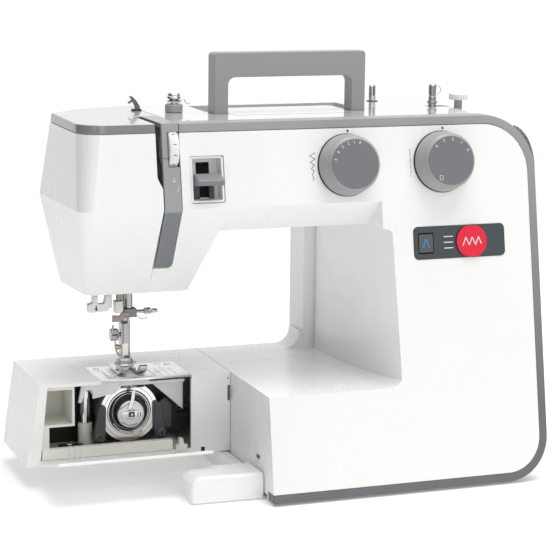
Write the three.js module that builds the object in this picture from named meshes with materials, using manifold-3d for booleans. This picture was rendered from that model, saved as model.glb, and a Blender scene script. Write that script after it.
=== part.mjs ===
// Free-arm domestic sewing machine. Millimetres, +Z up, the front faces -Y, +X to the right.
import * as THREE from 'three';
import Module from 'manifold-3d';
import { mergeVertices } from 'three/addons/utils/BufferGeometryUtils.js';
import { ConvexGeometry } from 'three/addons/geometries/ConvexGeometry.js';

const wasm = await Module();
wasm.setup();

// ---------------------------------------------------------------- driving dimensions
const DEPTH = 200;            // front of the base to its back
const BASE_TOP = 84;          // height of the free arm
const NEEDLE_CLEARANCE = 71;  // free arm to the underside of the head
const HEAD_DROP = 76;         // head underside to the ridge
const UPPER_HEIGHT = 65;      // ridge to the top
const ARM_RISE = 22;          // underside of the upper arm, below the ridge
const PILLAR_WIDTH = 125.5;
const BASE_EXTENSION = 115;   // base to the left of the pillar
const FREE_ARM_LENGTH = 160;  // free arm to the left of the base
const FREE_ARM_DEPTH = 93.6;
const RIGHT = 202.5;
const WALL = 2.8;
const GAP = 0.3;              // clearance between neighbouring pieces
const FLOOR = 1.5;            // underside of the mouldings, above the feet's contact plane
const LEAN = Math.tan(THREE.MathUtils.degToRad(10));

// ---------------------------------------------------------------- derived places
const FRONT = -DEPTH / 2;
const BACK = DEPTH / 2;
const HEAD_BOTTOM = BASE_TOP + NEEDLE_CLEARANCE;
const RIDGE = HEAD_BOTTOM + HEAD_DROP;
const TOP = RIDGE + UPPER_HEIGHT;
const UNDER_ARM = RIDGE - ARM_RISE;
const PILLAR_LEFT = RIGHT - PILLAR_WIDTH;
const BASE_LEFT = PILLAR_LEFT - BASE_EXTENSION;
const ARM_LEFT = BASE_LEFT - FREE_ARM_LENGTH;
const ARM_FRONT = BACK - FREE_ARM_DEPTH;
const NEEDLE_X = BASE_LEFT - 79;
const NEEDLE_Y = ARM_FRONT + 22.6;
const SPLIT_X = NEEDLE_X + 16;          // head cap and upper arm meet here
const HEAD_RIGHT = NEEDLE_X + 56;
const HEAD_LEFT = NEEDLE_X - 61;
const STRIP_WIDTH = 13.7;
const STRIP_LEFT = SPLIT_X - STRIP_WIDTH;
const SLOT_WIDTH = 5;
const LOW_SPLIT_X = STRIP_LEFT - 0.6;   // below the strip the head splits further left
const PARTING_Y = 40;                   // front and rear shells meet here, and further back at the pillar
const PILLAR_PARTING_Y = 69.5;
const SPLIT_TILT = 5.3;                 // the head's split moves right by this much below the ridge
const STRIP_FLARE = 5;                  // and the strip's right edge by this much at its lower end
const CAP_Z = TOP - 7;                  // grey top pieces start here
const BAND_WIDTH = 7;
const BAND_DEPTH = 14;
const LOW_CORNER = 36;
const TOP_CORNER = 46;
const THROAT_CORNER = 12;
const BACK_TOP = BACK - 5;              // the rear face leans in a little above the ridge
const REAR_LEDGE = 29;                  // the rear shell stands this far left of the pillar's front
const FAR = 400;

const frontAt = z => FRONT + LEAN * z;

// ---------------------------------------------------------------- shape helpers
function solid(geometry) {
  const plain = geometry.index ? geometry.toNonIndexed() : geometry.clone();
  plain.deleteAttribute('normal');
  plain.deleteAttribute('uv');
  const merged = mergeVertices(plain, 1e-4);
  return new wasm.Manifold(new wasm.Mesh({
    numProp: 3,
    vertProperties: new Float32Array(merged.attributes.position.array),
    triVerts: new Uint32Array(merged.index.array),
  }));
}

// A closed outline from corners [a, b, radius]; a radius rounds that corner.
function rounded(corners, steps = 4) {
  const points = [];
  corners.forEach(([a, b, radius = 0], i) => {
    const corner = new THREE.Vector2(a, b);
    if (radius <= 0) {
      points.push(corner);
      return;
    }
    const before = corners[(i + corners.length - 1) % corners.length];
    const after = corners[(i + 1) % corners.length];
    const toBefore = new THREE.Vector2(before[0] - a, before[1] - b).normalize();
    const toAfter = new THREE.Vector2(after[0] - a, after[1] - b).normalize();
    const half = Math.acos(THREE.MathUtils.clamp(toBefore.dot(toAfter), -1, 1)) / 2;
    const reach = radius / Math.tan(half);
    const centre = toBefore.clone().add(toAfter).normalize().multiplyScalar(radius / Math.sin(half)).add(corner);
    const start = toBefore.multiplyScalar(reach).add(corner).sub(centre);
    const end = toAfter.multiplyScalar(reach).add(corner).sub(centre);
    let sweep = end.angle() - start.angle();
    if (sweep > Math.PI) sweep -= 2 * Math.PI;
    if (sweep < -Math.PI) sweep += 2 * Math.PI;
    for (let k = 0; k <= steps; k += 1) {
      const angle = start.angle() + sweep * k / steps;
      points.push(new THREE.Vector2(Math.cos(angle), Math.sin(angle)).multiplyScalar(radius).add(centre));
    }
  });
  return points;
}

function extruded(points, depth) {
  return new THREE.ExtrudeGeometry(new THREE.Shape(points), { depth, bevelEnabled: false });
}

const basis = (x, y, z) => new THREE.Matrix4().makeBasis(
  new THREE.Vector3(...x), new THREE.Vector3(...y), new THREE.Vector3(...z));
const XZ_PLANE = basis([1, 0, 0], [0, 0, 1], [0, -1, 0]);
const YZ_PLANE = basis([0, 1, 0], [0, 0, 1], [1, 0, 0]);

// Outlines seen from the front (x, z), from above (x, y) and from the side (y, z).
function frontPlate(corners, y0, y1, steps) {
  return solid(extruded(rounded(corners, steps), y1 - y0).applyMatrix4(XZ_PLANE).translate(0, y1, 0));
}

function flatPlate(corners, z0, z1, steps) {
  return solid(extruded(rounded(corners, steps), z1 - z0).translate(0, 0, z0));
}

function sidePlate(corners, x0, x1, steps) {
  return solid(extruded(rounded(corners, steps), x1 - x0).applyMatrix4(YZ_PLANE).translate(x0, 0, 0));
}

// A plate that follows the leaning front face: y is measured from that face.
function leaningPlate(corners, y0, y1, steps) {
  const shear = new THREE.Matrix4().set(1, 0, 0, 0, 0, 1, LEAN, FRONT, 0, 0, 1, 0, 0, 0, 0, 1);
  const flat = extruded(rounded(corners, steps), y1 - y0).applyMatrix4(XZ_PLANE).translate(0, y1, 0);
  return solid(flat.applyMatrix4(shear));
}

function block(x0, x1, y0, y1, z0, z1) {
  const shape = new THREE.BoxGeometry(x1 - x0, y1 - y0, z1 - z0);
  return solid(shape.translate((x0 + x1) / 2, (y0 + y1) / 2, (z0 + z1) / 2));
}

const AXES = {
  x: new THREE.Vector3(1, 0, 0),
  y: new THREE.Vector3(0, 1, 0),
  z: new THREE.Vector3(0, 0, 1),
  out: new THREE.Vector3(0, -1, LEAN).normalize(),   // straight out of the leaning front face
};

// A round piece turned about an axis, from [radius, distance along the axis] pairs.
function turned(profile, at, axis, segments = 24) {
  const points = profile.map(([radius, along]) => new THREE.Vector2(radius, along));
  if (points[0].x > 0 && !points[0].equals(points[points.length - 1])) points.push(points[0].clone());
  const shape = new THREE.LatheGeometry(points, segments);
  const turn = new THREE.Quaternion().setFromUnitVectors(AXES.y, AXES[axis]);
  shape.applyQuaternion(turn).translate(...at);
  const made = solid(shape);
  return made.volume() < 0 ? solid(flipped(shape)) : made;
}

function flipped(geometry) {
  const copy = geometry.toNonIndexed();
  const position = copy.attributes.position;
  for (let i = 0; i < position.count; i += 3) {
    const first = [position.getX(i), position.getY(i), position.getZ(i)];
    position.setXYZ(i, position.getX(i + 1), position.getY(i + 1), position.getZ(i + 1));
    position.setXYZ(i + 1, ...first);
  }
  return copy;
}

const rod = (at, axis, radius, length, segments = 20) => turned(
  [[0, 0], [radius, 0], [radius, length], [0, length]], at, axis, segments);
const tube = (at, axis, outer, inner, length, segments = 24) => turned(
  [[inner, 0], [outer, 0], [outer, length], [inner, length]], at, axis, segments);
const join = (...parts) => parts.reduce((sum, part) => sum.add(part));
const hull = points => solid(new ConvexGeometry(points.map(p => new THREE.Vector3(...p))));
// A point on the leaning front face, moved out of it by some distance.
const onFront = (x, z, out = 0) => [
  x, frontAt(z) + AXES.out.y * out, z + AXES.out.z * out];

// ---------------------------------------------------------------- scene
const machine = new THREE.Group();
const COLOURS = {
  white: ['#f2f2f0', 0.35, 0], grey: ['#8c8f92', 0.4, 0], dark: ['#55585b', 0.45, 0],
  black: ['#1c1d1e', 0.5, 0], cream: ['#dedccf', 0.5, 0], steel: ['#c2c4c6', 0.25, 0.9],
  casting: ['#a3a5a6', 0.5, 0.7], glossy: ['#b4b7b9', 0.2, 0], brass: ['#c8a15a', 0.3, 0.9],
  rubber: ['#2a2a2a', 0.8, 0], slate: ['#2f363b', 0.2, 0],
};

function add(name, shape, colour) {
  const made = shape.getMesh();
  const geometry = new THREE.BufferGeometry();
  geometry.setAttribute('position', new THREE.BufferAttribute(new Float32Array(made.vertProperties), 3));
  geometry.setIndex(new THREE.BufferAttribute(new Uint32Array(made.triVerts), 1));
  geometry.computeVertexNormals();
  const [color, roughness, metalness] = COLOURS[colour];
  const mesh = new THREE.Mesh(geometry, new THREE.MeshStandardMaterial({ color, roughness, metalness }));
  mesh.name = name;
  machine.add(mesh);
}

// ---------------------------------------------------------------- body envelope
// The C-shaped body, inset by t on every face; t = 0 is the outside.
function bodyEnvelope(t) {
  const outline = frontPlate([
    [BASE_LEFT + t, FLOOR + t], [RIGHT - t, FLOOR + t, LOW_CORNER - t],
    [RIGHT - t, TOP - t, TOP_CORNER - t], [HEAD_RIGHT - 14 - t, TOP - t],
    [HEAD_RIGHT - 14 - t, UNDER_ARM + t], [PILLAR_LEFT + t, UNDER_ARM + t, THROAT_CORNER + t],
    [PILLAR_LEFT + t, BASE_TOP - t, THROAT_CORNER + t], [BASE_LEFT + t, BASE_TOP - t]], FRONT - 10, BACK + 10,
  12);
  const seam = PILLAR_PARTING_Y;
  const innerWall = flatPlate([
    [PILLAR_LEFT + t, FRONT], [PILLAR_LEFT - 11 + t, 2], [PILLAR_LEFT - 17.5 + t, seam - 3.5 - t],
    [PILLAR_LEFT - 13 + t, seam - 2.5 - t], [PILLAR_LEFT - 13 + t, seam + 2.5 + t],
    [PILLAR_LEFT - 26 + t, seam + 4.5 + t], [PILLAR_LEFT - REAR_LEDGE + t, BACK + 5],
    [PILLAR_LEFT + 40, BACK + 5], [PILLAR_LEFT + 40, FRONT]], BASE_TOP - 6, UNDER_ARM + 6);
  const rearFillet = frontPlate([
    [PILLAR_LEFT - REAR_LEDGE - 15, BASE_TOP - 6], [PILLAR_LEFT, BASE_TOP - 6], [PILLAR_LEFT, BASE_TOP + 15],
    [PILLAR_LEFT - REAR_LEDGE + t, BASE_TOP + 15], [PILLAR_LEFT - REAR_LEDGE + t, BASE_TOP - t, 13],
    [PILLAR_LEFT - REAR_LEDGE - 15, BASE_TOP - t]], seam + 6 + t, BACK + 5, 6);
  const side = sidePlate([
    [frontAt(0) + t, 0], [frontAt(FLOOR + t) + t, FLOOR + t], [BACK - t, FLOOR + t], [BACK - t, RIDGE],
    [BACK_TOP - t, TOP - t, 8], [frontAt(TOP - t) + t, TOP - t]], BASE_LEFT - 260, RIGHT + 10);
  const facetFront = [frontAt(RIDGE) + t * 0.67, RIDGE + t * 0.74];
  const facet = sidePlate([
    [facetFront[0] - 24.3, facetFront[1] + 22], [facetFront[0] - 24.3, UNDER_ARM - 20],
    [facetFront[0] + 36.4, UNDER_ARM - 20], [facetFront[0] + 36.4, facetFront[1] - 33]],
  HEAD_RIGHT - 40, PILLAR_LEFT - THROAT_CORNER + t);
  return outline.add(innerWall).add(rearFillet).intersect(side).subtract(facet);
}

// The faceted head, widest at the ridge; a plan outline at each of three heights.
function headEnvelope(t, drop = 0) {
  const levels = [
    { z: TOP - t, left: HEAD_LEFT, y: frontAt(TOP), corner: 20, right: HEAD_RIGHT,
      back: [[NEEDLE_X + 7, 90], [NEEDLE_X - 33, 75], [NEEDLE_X - 59, 50]], far: BACK_TOP },
    { z: RIDGE, left: NEEDLE_X - 64, y: frontAt(RIDGE), corner: 14, right: HEAD_RIGHT,
      back: [[NEEDLE_X + 5, 97], [NEEDLE_X - 38, 85], [NEEDLE_X - 68, 56]], far: BACK },
    { z: HEAD_BOTTOM - drop, left: NEEDLE_X - 43.5, y: NEEDLE_Y - 26, corner: 8, right: HEAD_RIGHT - 16,
      back: [[NEEDLE_X + 2, 92], [NEEDLE_X - 28, 86], [NEEDLE_X - 48, 70]], far: 92 },
  ];
  const points = levels.flatMap(level => {
    const plan = [
      [level.left + t, level.y + t, Math.max(level.corner - t, 1)], [level.right - t, level.y + t],
      [level.right - t, level.far - t], ...level.back.map(([x, y]) => [x + t * 0.6, y - t * 0.8])];
    return rounded(plan, 7).map(p => [p.x, p.y, level.z]);
  });
  return hull(points);
}

const outside = bodyEnvelope(0).add(headEnvelope(0));
const inside = bodyEnvelope(WALL).add(headEnvelope(WALL, 3));
const skin = outside.subtract(inside);

// ---------------------------------------------------------------- trim band
// A ring around the bottom, the right side and the top of the front face.
function bandZone(width, depth) {
  const outer = leaningPlate([
    [HEAD_LEFT, FLOOR - 20], [RIGHT + 20, FLOOR - 20], [RIGHT + 20, TOP + 20], [HEAD_LEFT, TOP + 20]],
  -20, depth);
  const inner = leaningPlate([
    [HEAD_LEFT - 10, FLOOR + width], [RIGHT - width, FLOOR + width, LOW_CORNER - width],
    [RIGHT - width, TOP - width, TOP_CORNER - width], [HEAD_LEFT - 10, TOP - width]], -25, depth + 5, 12);
  return outer.subtract(inner);
}

const bandSpan = block(SPLIT_X + GAP, FAR, -FAR, FAR, -10, FAR)
  .add(block(BASE_LEFT - 10, FAR, -FAR, FAR, -10, BASE_TOP));
const band = bandZone(BAND_WIDTH, BAND_DEPTH).intersect(outside).intersect(bandSpan);
const bandClear = bandZone(BAND_WIDTH + GAP, BAND_DEPTH + GAP).intersect(bandSpan.translate([-2, 0, 0]));
const bandBacking = bandZone(BAND_WIDTH + WALL, BAND_DEPTH + WALL).intersect(outside)
  .intersect(block(SPLIT_X + GAP, FAR, -FAR, FAR, -10, CAP_Z - GAP));
add('trim_band', band, 'grey');

// ---------------------------------------------------------------- controls on the front face
const DIAL_Z = TOP - 36;
const WIDTH_DIAL_X = PILLAR_LEFT - 40.6;
const LENGTH_DIAL_X = WIDTH_DIAL_X + 82.5;
const DIAL_RADIUS = 24.4;
const DIAL_SHAFT = 4;
const PANEL = { left: PILLAR_LEFT + 14, right: PILLAR_LEFT + 94.5, low: RIDGE - 47.5, high: RIDGE - 22, corner: 4 };
const WINDOW = { left: PANEL.left + 4, right: PANEL.left + 17, low: PANEL.low + 4.5, high: PANEL.high - 5 };
const LEVER = { left: SPLIT_X + 8, right: SPLIT_X + 35, low: RIDGE + 4, high: RIDGE + 39.5 };

const outlineOf = (box, grow = 0, corner = 0) => [
  [box.left - grow, box.low - grow, corner], [box.right + grow, box.low - grow, corner],
  [box.right + grow, box.high + grow, corner], [box.left - grow, box.high + grow, corner]];

function dial(name, x) {
  const base = 1;
  add(name, turned([
    [0, base], [DIAL_RADIUS, base], [DIAL_RADIUS, base + 3], [DIAL_RADIUS - 2.6, base + 15],
    [DIAL_RADIUS - 5.4, base + 18], [0, base + 18]], onFront(x, DIAL_Z), 'out', 40)
    .add(rod(onFront(x, DIAL_Z, -22), 'out', DIAL_SHAFT, 23.5)), 'grey');
}
dial('stitch_width_dial', WIDTH_DIAL_X);
dial('stitch_length_dial', LENGTH_DIAL_X);

add('display_panel', leaningPlate(outlineOf(PANEL, 0, PANEL.corner), -0.6, 1.9)
  .subtract(leaningPlate(outlineOf(WINDOW, 0), -5, 5)), 'slate');

// ---------------------------------------------------------------- shells
const strip = { low: RIDGE - 53 };
const tiltAt = z => SPLIT_TILT * Math.max(RIDGE - z, 0) / HEAD_DROP;
const headRegion = frontPlate([
  [-FAR, 0], [LOW_SPLIT_X + tiltAt(0), 0], [LOW_SPLIT_X, RIDGE], [LOW_SPLIT_X, FAR], [-FAR, FAR]], -FAR, FAR);
const aboveStrip = block(LOW_SPLIT_X - 1, SPLIT_X, -FAR, FAR, strip.low - GAP, FAR);
const headSide = headRegion.add(aboveStrip);
const bodySide = frontPlate([
  [LOW_SPLIT_X + GAP + tiltAt(0), 0], [FAR, 0], [FAR, FAR], [LOW_SPLIT_X + GAP, FAR], [LOW_SPLIT_X + GAP, RIDGE]],
-FAR, FAR)
  .subtract(block(LOW_SPLIT_X - 1, SPLIT_X + GAP, -FAR, FAR, strip.low - 2 * GAP, FAR))
  .subtract(frontPlate([[SPLIT_X, strip.low - 2 * GAP], [SPLIT_X + GAP + STRIP_FLARE, strip.low - 2 * GAP, 4],
    [SPLIT_X + GAP, RIDGE], [SPLIT_X, RIDGE]], -FAR, 8));
const belowCap = block(-FAR, FAR, -FAR, FAR, -10, CAP_Z - GAP);
const BASE_PLATE_TOP = FLOOR + 3.2;
const BASE_PLATE_RIGHT = RIGHT - LOW_CORNER - 1;
const basePlateSpace = block(-FAR, BASE_PLATE_RIGHT + GAP, frontAt(0) + BAND_DEPTH + 3, FAR, -10,
  BASE_PLATE_TOP + GAP);

const HANDWHEEL = { y: -9, z: RIDGE + 15, radius: 36 };
const PATTERN_DIAL = { y: -40, z: BASE_TOP + 66, radius: 18 };
const SHAFT_RADIUS = 4.5;
const POWER = { y: 55, z: 52, width: 22, height: 14 };
const INLET = { y: 22, z: 52, width: 26, height: 18 };
const sideOpenings = join(
  rod([RIGHT - 20, HANDWHEEL.y, HANDWHEEL.z], 'x', SHAFT_RADIUS + 4, 30),
  rod([RIGHT - 20, PATTERN_DIAL.y, PATTERN_DIAL.z], 'x', 5, 30),
  ...[POWER, INLET].map(hole => block(RIGHT - 20, RIGHT + 5, hole.y - hole.width / 2 - GAP,
    hole.y + hole.width / 2 + GAP, hole.z - hole.height / 2 - GAP, hole.z + hole.height / 2 + GAP)));
const armJoint = block(BASE_LEFT - 5, BASE_LEFT + WALL + 1, ARM_FRONT + 8, BACK - 8, 26, BASE_TOP - 8);

const frontOpenings = join(
  leaningPlate(outlineOf(PANEL, GAP, PANEL.corner), -5, 12),
  leaningPlate(outlineOf(LEVER, GAP, 1.5), -5, 12),
  ...[WIDTH_DIAL_X, LENGTH_DIAL_X].map(x => rod(onFront(x, DIAL_Z, -12), 'out', DIAL_SHAFT + 0.8, 24)));

const WINDER = { x: SPLIT_X + 248.3, y: 28, radius: 3.2 };
const STOPPER = { x: SPLIT_X + 277.8, y: 39 };
const SPOOL = { x: SPLIT_X + 215.5, y: 80, radius: 3.2 };
const topHoles = join(
  flatPlate([[WINDER.x - 5.4, WINDER.y - 5.4, 5], [WINDER.x + 17, WINDER.y - 5.4, 5],
    [WINDER.x + 17, WINDER.y + 5.4, 5], [WINDER.x - 5.4, WINDER.y + 5.4, 5]], TOP - 20, TOP + 5),
  rod([STOPPER.x, STOPPER.y, TOP - 20], 'z', 4.2, 40),
  rod([SPOOL.x, SPOOL.y, TOP - 20], 'z', SPOOL.radius + 0.4, 40));

const LIFTER = { x: NEEDLE_X + 4, y: BACK - 20, z: HEAD_BOTTOM + 9, dropX: 22, dropZ: 19, thick: 5 };
const lifterSlot = block(LIFTER.x + 12, LIFTER.x + 60, LIFTER.y - 1.5, LIFTER.y + LIFTER.thick + 1.5,
  HEAD_BOTTOM - 20, LIFTER.z + 4);

const shells = skin.add(bandBacking).subtract(bandClear).intersect(bodySide).intersect(belowCap)
  .subtract(basePlateSpace).subtract(sideOpenings).subtract(armJoint).subtract(topHoles);
const frontRegion = flatPlate([
  [-FAR, -FAR], [FAR, -FAR], [FAR, PILLAR_PARTING_Y], [PILLAR_LEFT - 18, PILLAR_PARTING_Y],
  [PILLAR_LEFT - 30, PARTING_Y + 16], [PILLAR_LEFT - 52, PARTING_Y], [-FAR, PARTING_Y]], -10, FAR);
add('front_cover', shells.intersect(frontRegion.translate([0, -GAP / 2, 0])).subtract(frontOpenings), 'white');
add('rear_cover', shells.subtract(frontRegion.translate([0, GAP, 0])).subtract(lifterSlot), 'white');

// The slot beside the strip, wide above a diagonal step, where the take-up lever shows.
const slot = frontPlate([
  [STRIP_LEFT - SLOT_WIDTH, FAR], [STRIP_LEFT - SLOT_WIDTH, TOP - 41], [STRIP_LEFT - 1, TOP - 49],
  [STRIP_LEFT - 1, RIDGE], [STRIP_LEFT - 1 + tiltAt(strip.low), strip.low], [SPLIT_X + GAP, strip.low],
  [SPLIT_X + GAP, FAR]], -FAR, 8);
add('face_cover', skin.intersect(headSide).intersect(belowCap).subtract(slot), 'white');

add('head_cap', skin.intersect(block(-FAR, SPLIT_X, -FAR, FAR, CAP_Z, FAR)).subtract(slot), 'grey');

// ---------------------------------------------------------------- thread strip and tension dial
const TENSION = { z: TOP - 20.3, radius: 16.6, width: 7.4, right: SPLIT_X - 1 };
TENSION.y = frontAt(TENSION.z) + TENSION.radius - 4.5;
const notch = block(TENSION.right - TENSION.width - 1, SPLIT_X + 2, -FAR, TENSION.y,
  TENSION.z - 12.8, TENSION.z + 12.4)
  .add(rod([TENSION.right - TENSION.width - 1, TENSION.y, TENSION.z], 'x', TENSION.radius + 0.5, 20, 40));
const stripSkin = headEnvelope(0).subtract(headEnvelope(3.4, 3));
add('thread_strip', stripSkin.intersect(frontPlate([
  [STRIP_LEFT + tiltAt(strip.low) + 1, strip.low + GAP, 1.5],
  [SPLIT_X - GAP + STRIP_FLARE, strip.low + GAP, 4], [SPLIT_X - GAP, RIDGE], [SPLIT_X - GAP, FAR],
  [STRIP_LEFT, FAR], [STRIP_LEFT, RIDGE]], -FAR, 8 - GAP)).subtract(notch), 'grey');
add('tension_dial', turned([
  [0, 0], [TENSION.radius - 1, 0], [TENSION.radius, 1], [TENSION.radius, TENSION.width - 1],
  [TENSION.radius - 1, TENSION.width], [0, TENSION.width]],
[TENSION.right - TENSION.width, TENSION.y, TENSION.z], 'x', 40)
  .add(rod([TENSION.right - 1, TENSION.y, TENSION.z], 'x', 4, 24)), 'white');

// ---------------------------------------------------------------- top
const HANDLE = { left: SPLIT_X + 48.4, right: SPLIT_X + 179, y: 10, depth: 16, leg: 12, bar: 20, rise: 49, fillet: 6 };
HANDLE.pivotZ = TOP - 8.2;
HANDLE.pivotY = HANDLE.y + HANDLE.depth / 2;
HANDLE.height = TOP + HANDLE.rise - HANDLE.pivotZ;
const WELL_DEPTH = 18;
const WELL_GAP = 1;
const handleTip = HANDLE.pivotY + HANDLE.height;
// The U-shaped well that the folded handle drops into, with the handle's own inner fillets.
function well(grow, depth) {
  const corner = HANDLE.fillet - Math.min(grow, HANDLE.fillet - 1);
  const innerLeft = HANDLE.left + HANDLE.leg + grow;
  const innerRight = HANDLE.right - HANDLE.leg - grow;
  const near = HANDLE.y - grow;
  const barNear = handleTip - HANDLE.bar - grow;
  return flatPlate([
    [HANDLE.left - grow, near], [innerLeft, near], [innerLeft, barNear, corner], [innerRight, barNear, corner],
    [innerRight, near], [HANDLE.right + grow, near], [HANDLE.right + grow, handleTip + grow],
    [HANDLE.left - grow, handleTip + grow]], TOP - depth, TOP + 5);
}
const topPlate = skin.subtract(bandClear).intersect(block(SPLIT_X + GAP, FAR, -FAR, FAR, CAP_Z, FAR));
const wellLiner = well(WELL_GAP + 2, WELL_DEPTH + 2).intersect(block(-FAR, FAR, -FAR, FAR, 0, TOP - 1));
add('top_cover', topPlate.add(wellLiner).subtract(well(WELL_GAP, WELL_DEPTH)).subtract(topHoles), 'glossy');

const legShape = x => sidePlate([
  [HANDLE.y, HANDLE.pivotZ - HANDLE.depth / 2, HANDLE.depth / 2 - 0.2], [HANDLE.y + HANDLE.depth,
    HANDLE.pivotZ - HANDLE.depth / 2, HANDLE.depth / 2 - 0.2], [HANDLE.y + HANDLE.depth, TOP + HANDLE.rise, 4],
  [HANDLE.y, TOP + HANDLE.rise]], x, x + HANDLE.leg);
const handleOutline = frontPlate([
  [HANDLE.left, HANDLE.pivotZ - HANDLE.depth], [HANDLE.left + HANDLE.leg, HANDLE.pivotZ - HANDLE.depth],
  [HANDLE.left + HANDLE.leg, TOP + HANDLE.rise - HANDLE.bar, HANDLE.fillet],
  [HANDLE.right - HANDLE.leg, TOP + HANDLE.rise - HANDLE.bar, HANDLE.fillet],
  [HANDLE.right - HANDLE.leg, HANDLE.pivotZ - HANDLE.depth], [HANDLE.right, HANDLE.pivotZ - HANDLE.depth],
  [HANDLE.right, TOP + HANDLE.rise, 3], [HANDLE.left, TOP + HANDLE.rise, 3]],
HANDLE.y, HANDLE.y + HANDLE.depth);
const handleSide = legShape(HANDLE.left).add(sidePlate([
  [HANDLE.y, HANDLE.pivotZ], [HANDLE.y + HANDLE.depth, HANDLE.pivotZ],
  [HANDLE.y + HANDLE.depth, TOP + HANDLE.rise, 4], [HANDLE.y, TOP + HANDLE.rise]],
HANDLE.left, HANDLE.right)).add(legShape(HANDLE.right - HANDLE.leg));
add('carry_handle', handleOutline.intersect(handleSide), 'grey');

add('spool_pin', rod([SPOOL.x, SPOOL.y, TOP - 52], 'z', SPOOL.radius, 66), 'steel');
add('winder_spindle', rod([WINDER.x, WINDER.y, TOP - 24], 'z', WINDER.radius, 42.5)
  .add(rod([WINDER.x, WINDER.y, TOP - 24], 'z', 11, 5)), 'steel');
add('winder_stopper', turned([
  [0, -14], [3.6, -14], [3.6, 4], [8, 4], [8, 8.6], [7, 9.6], [0, 9.6]], [STOPPER.x, STOPPER.y, TOP], 'z'), 'white');
const GUIDE_STUD = { x: SPLIT_X + 21.5, y: 32 };
add('winder_tension_guide', turned([
  [0, GAP], [7, GAP], [7, 6.4], [3, 6.6], [3, 9], [5.6, 9.6], [5.6, 13], [4.2, 15.4], [0, 15.8]],
[GUIDE_STUD.x, GUIDE_STUD.y, TOP], 'z'), 'steel');
add('thread_guide', sidePlate([
  [44, TOP + GAP], [51, TOP + GAP], [52.5, TOP + 8.5, 1], [46, TOP + 13.5, 1], [44.6, TOP + 12, 1],
  [49, TOP + 7.4, 1], [48, TOP + 2], [44, TOP + 2]], SPLIT_X - 8, SPLIT_X - 3.5), 'brass');

// ---------------------------------------------------------------- reverse lever
const BEZEL_BACK = 14;
add('lever_recess', leaningPlate(outlineOf(LEVER, -0.1, 1.5), 0.8, BEZEL_BACK)
  .subtract(leaningPlate(outlineOf(LEVER, -1.8, 1), -5, BEZEL_BACK - 2))
  .subtract(leaningPlate([[LEVER.left + 8, LEVER.low + 2.5], [LEVER.right - 8, LEVER.low + 2.5],
    [LEVER.right - 8, LEVER.high - 6], [LEVER.left + 8, LEVER.high - 6]], -5, FAR)), 'cream');
const LEVER_PIVOT = { y: frontAt(RIDGE + 22) + 34, z: RIDGE + 22 };
const leverZ = RIDGE + 23;
add('reverse_lever', leaningPlate([[LEVER.left + 2.4, leverZ - 6], [LEVER.right - 2.4, leverZ - 6],
  [LEVER.right - 2.4, leverZ + 3], [LEVER.left + 2.4, leverZ + 3]], -7, 3)
  .add(leaningPlate([[LEVER.left + 9.5, leverZ - 4], [LEVER.right - 9.5, leverZ - 4],
    [LEVER.right - 9.5, leverZ], [LEVER.left + 9.5, leverZ]], 2, 34))
  .add(rod([LEVER.left + 9, LEVER_PIVOT.y, LEVER_PIVOT.z], 'x', 4, LEVER.right - LEVER.left - 18)), 'grey');

// ---------------------------------------------------------------- base plate, feet, foot block
add('base_plate', flatPlate([
  [BASE_LEFT + 1, frontAt(0) + BAND_DEPTH + 3.3], [BASE_PLATE_RIGHT, frontAt(0) + BAND_DEPTH + 3.3],
  [BASE_PLATE_RIGHT, BACK - 0.4], [BASE_LEFT + 1, BACK - 0.4]], FLOOR, BASE_PLATE_TOP), 'casting');
[['front_left_foot', BASE_LEFT + 16, FRONT + 36], ['front_right_foot', RIGHT - 56, FRONT + 36],
  ['rear_left_foot', BASE_LEFT + 16, BACK - 18], ['rear_right_foot', RIGHT - 56, BACK - 18]]
  .forEach(([name, x, y]) => add(name, rod([x, y, 0], 'z', 8, FLOOR - GAP), 'rubber'));
const STUB = { left: BASE_LEFT - 60, top: 21.5, rearTop: 16.5 };
add('left_foot_block', hull([0, 5].flatMap(step => [
  [STUB.left + step, FRONT + 24 + step * 0.4], [BASE_LEFT - GAP, FRONT + 22.5 + step * 0.4],
  [BASE_LEFT - GAP, FRONT + 60 - step * 0.8], [STUB.left + 8 + step, FRONT + 60 - step * 0.8],
  [STUB.left + step, FRONT + 50]].map(([x, y]) => [x, y, step ? STUB.top : STUB.top - 5])
  .concat(step ? [] : [[STUB.left, FRONT + 24, 0.4], [BASE_LEFT - GAP, FRONT + 22.5, 0.4],
    [BASE_LEFT - GAP, FRONT + 68, 0.4], [STUB.left + 6, FRONT + 68, 0.4]])))
  .add(block(BASE_LEFT - 9, BASE_LEFT - GAP, FRONT + 50, BACK - 6, 0.4, STUB.rearTop)), 'white');

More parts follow.
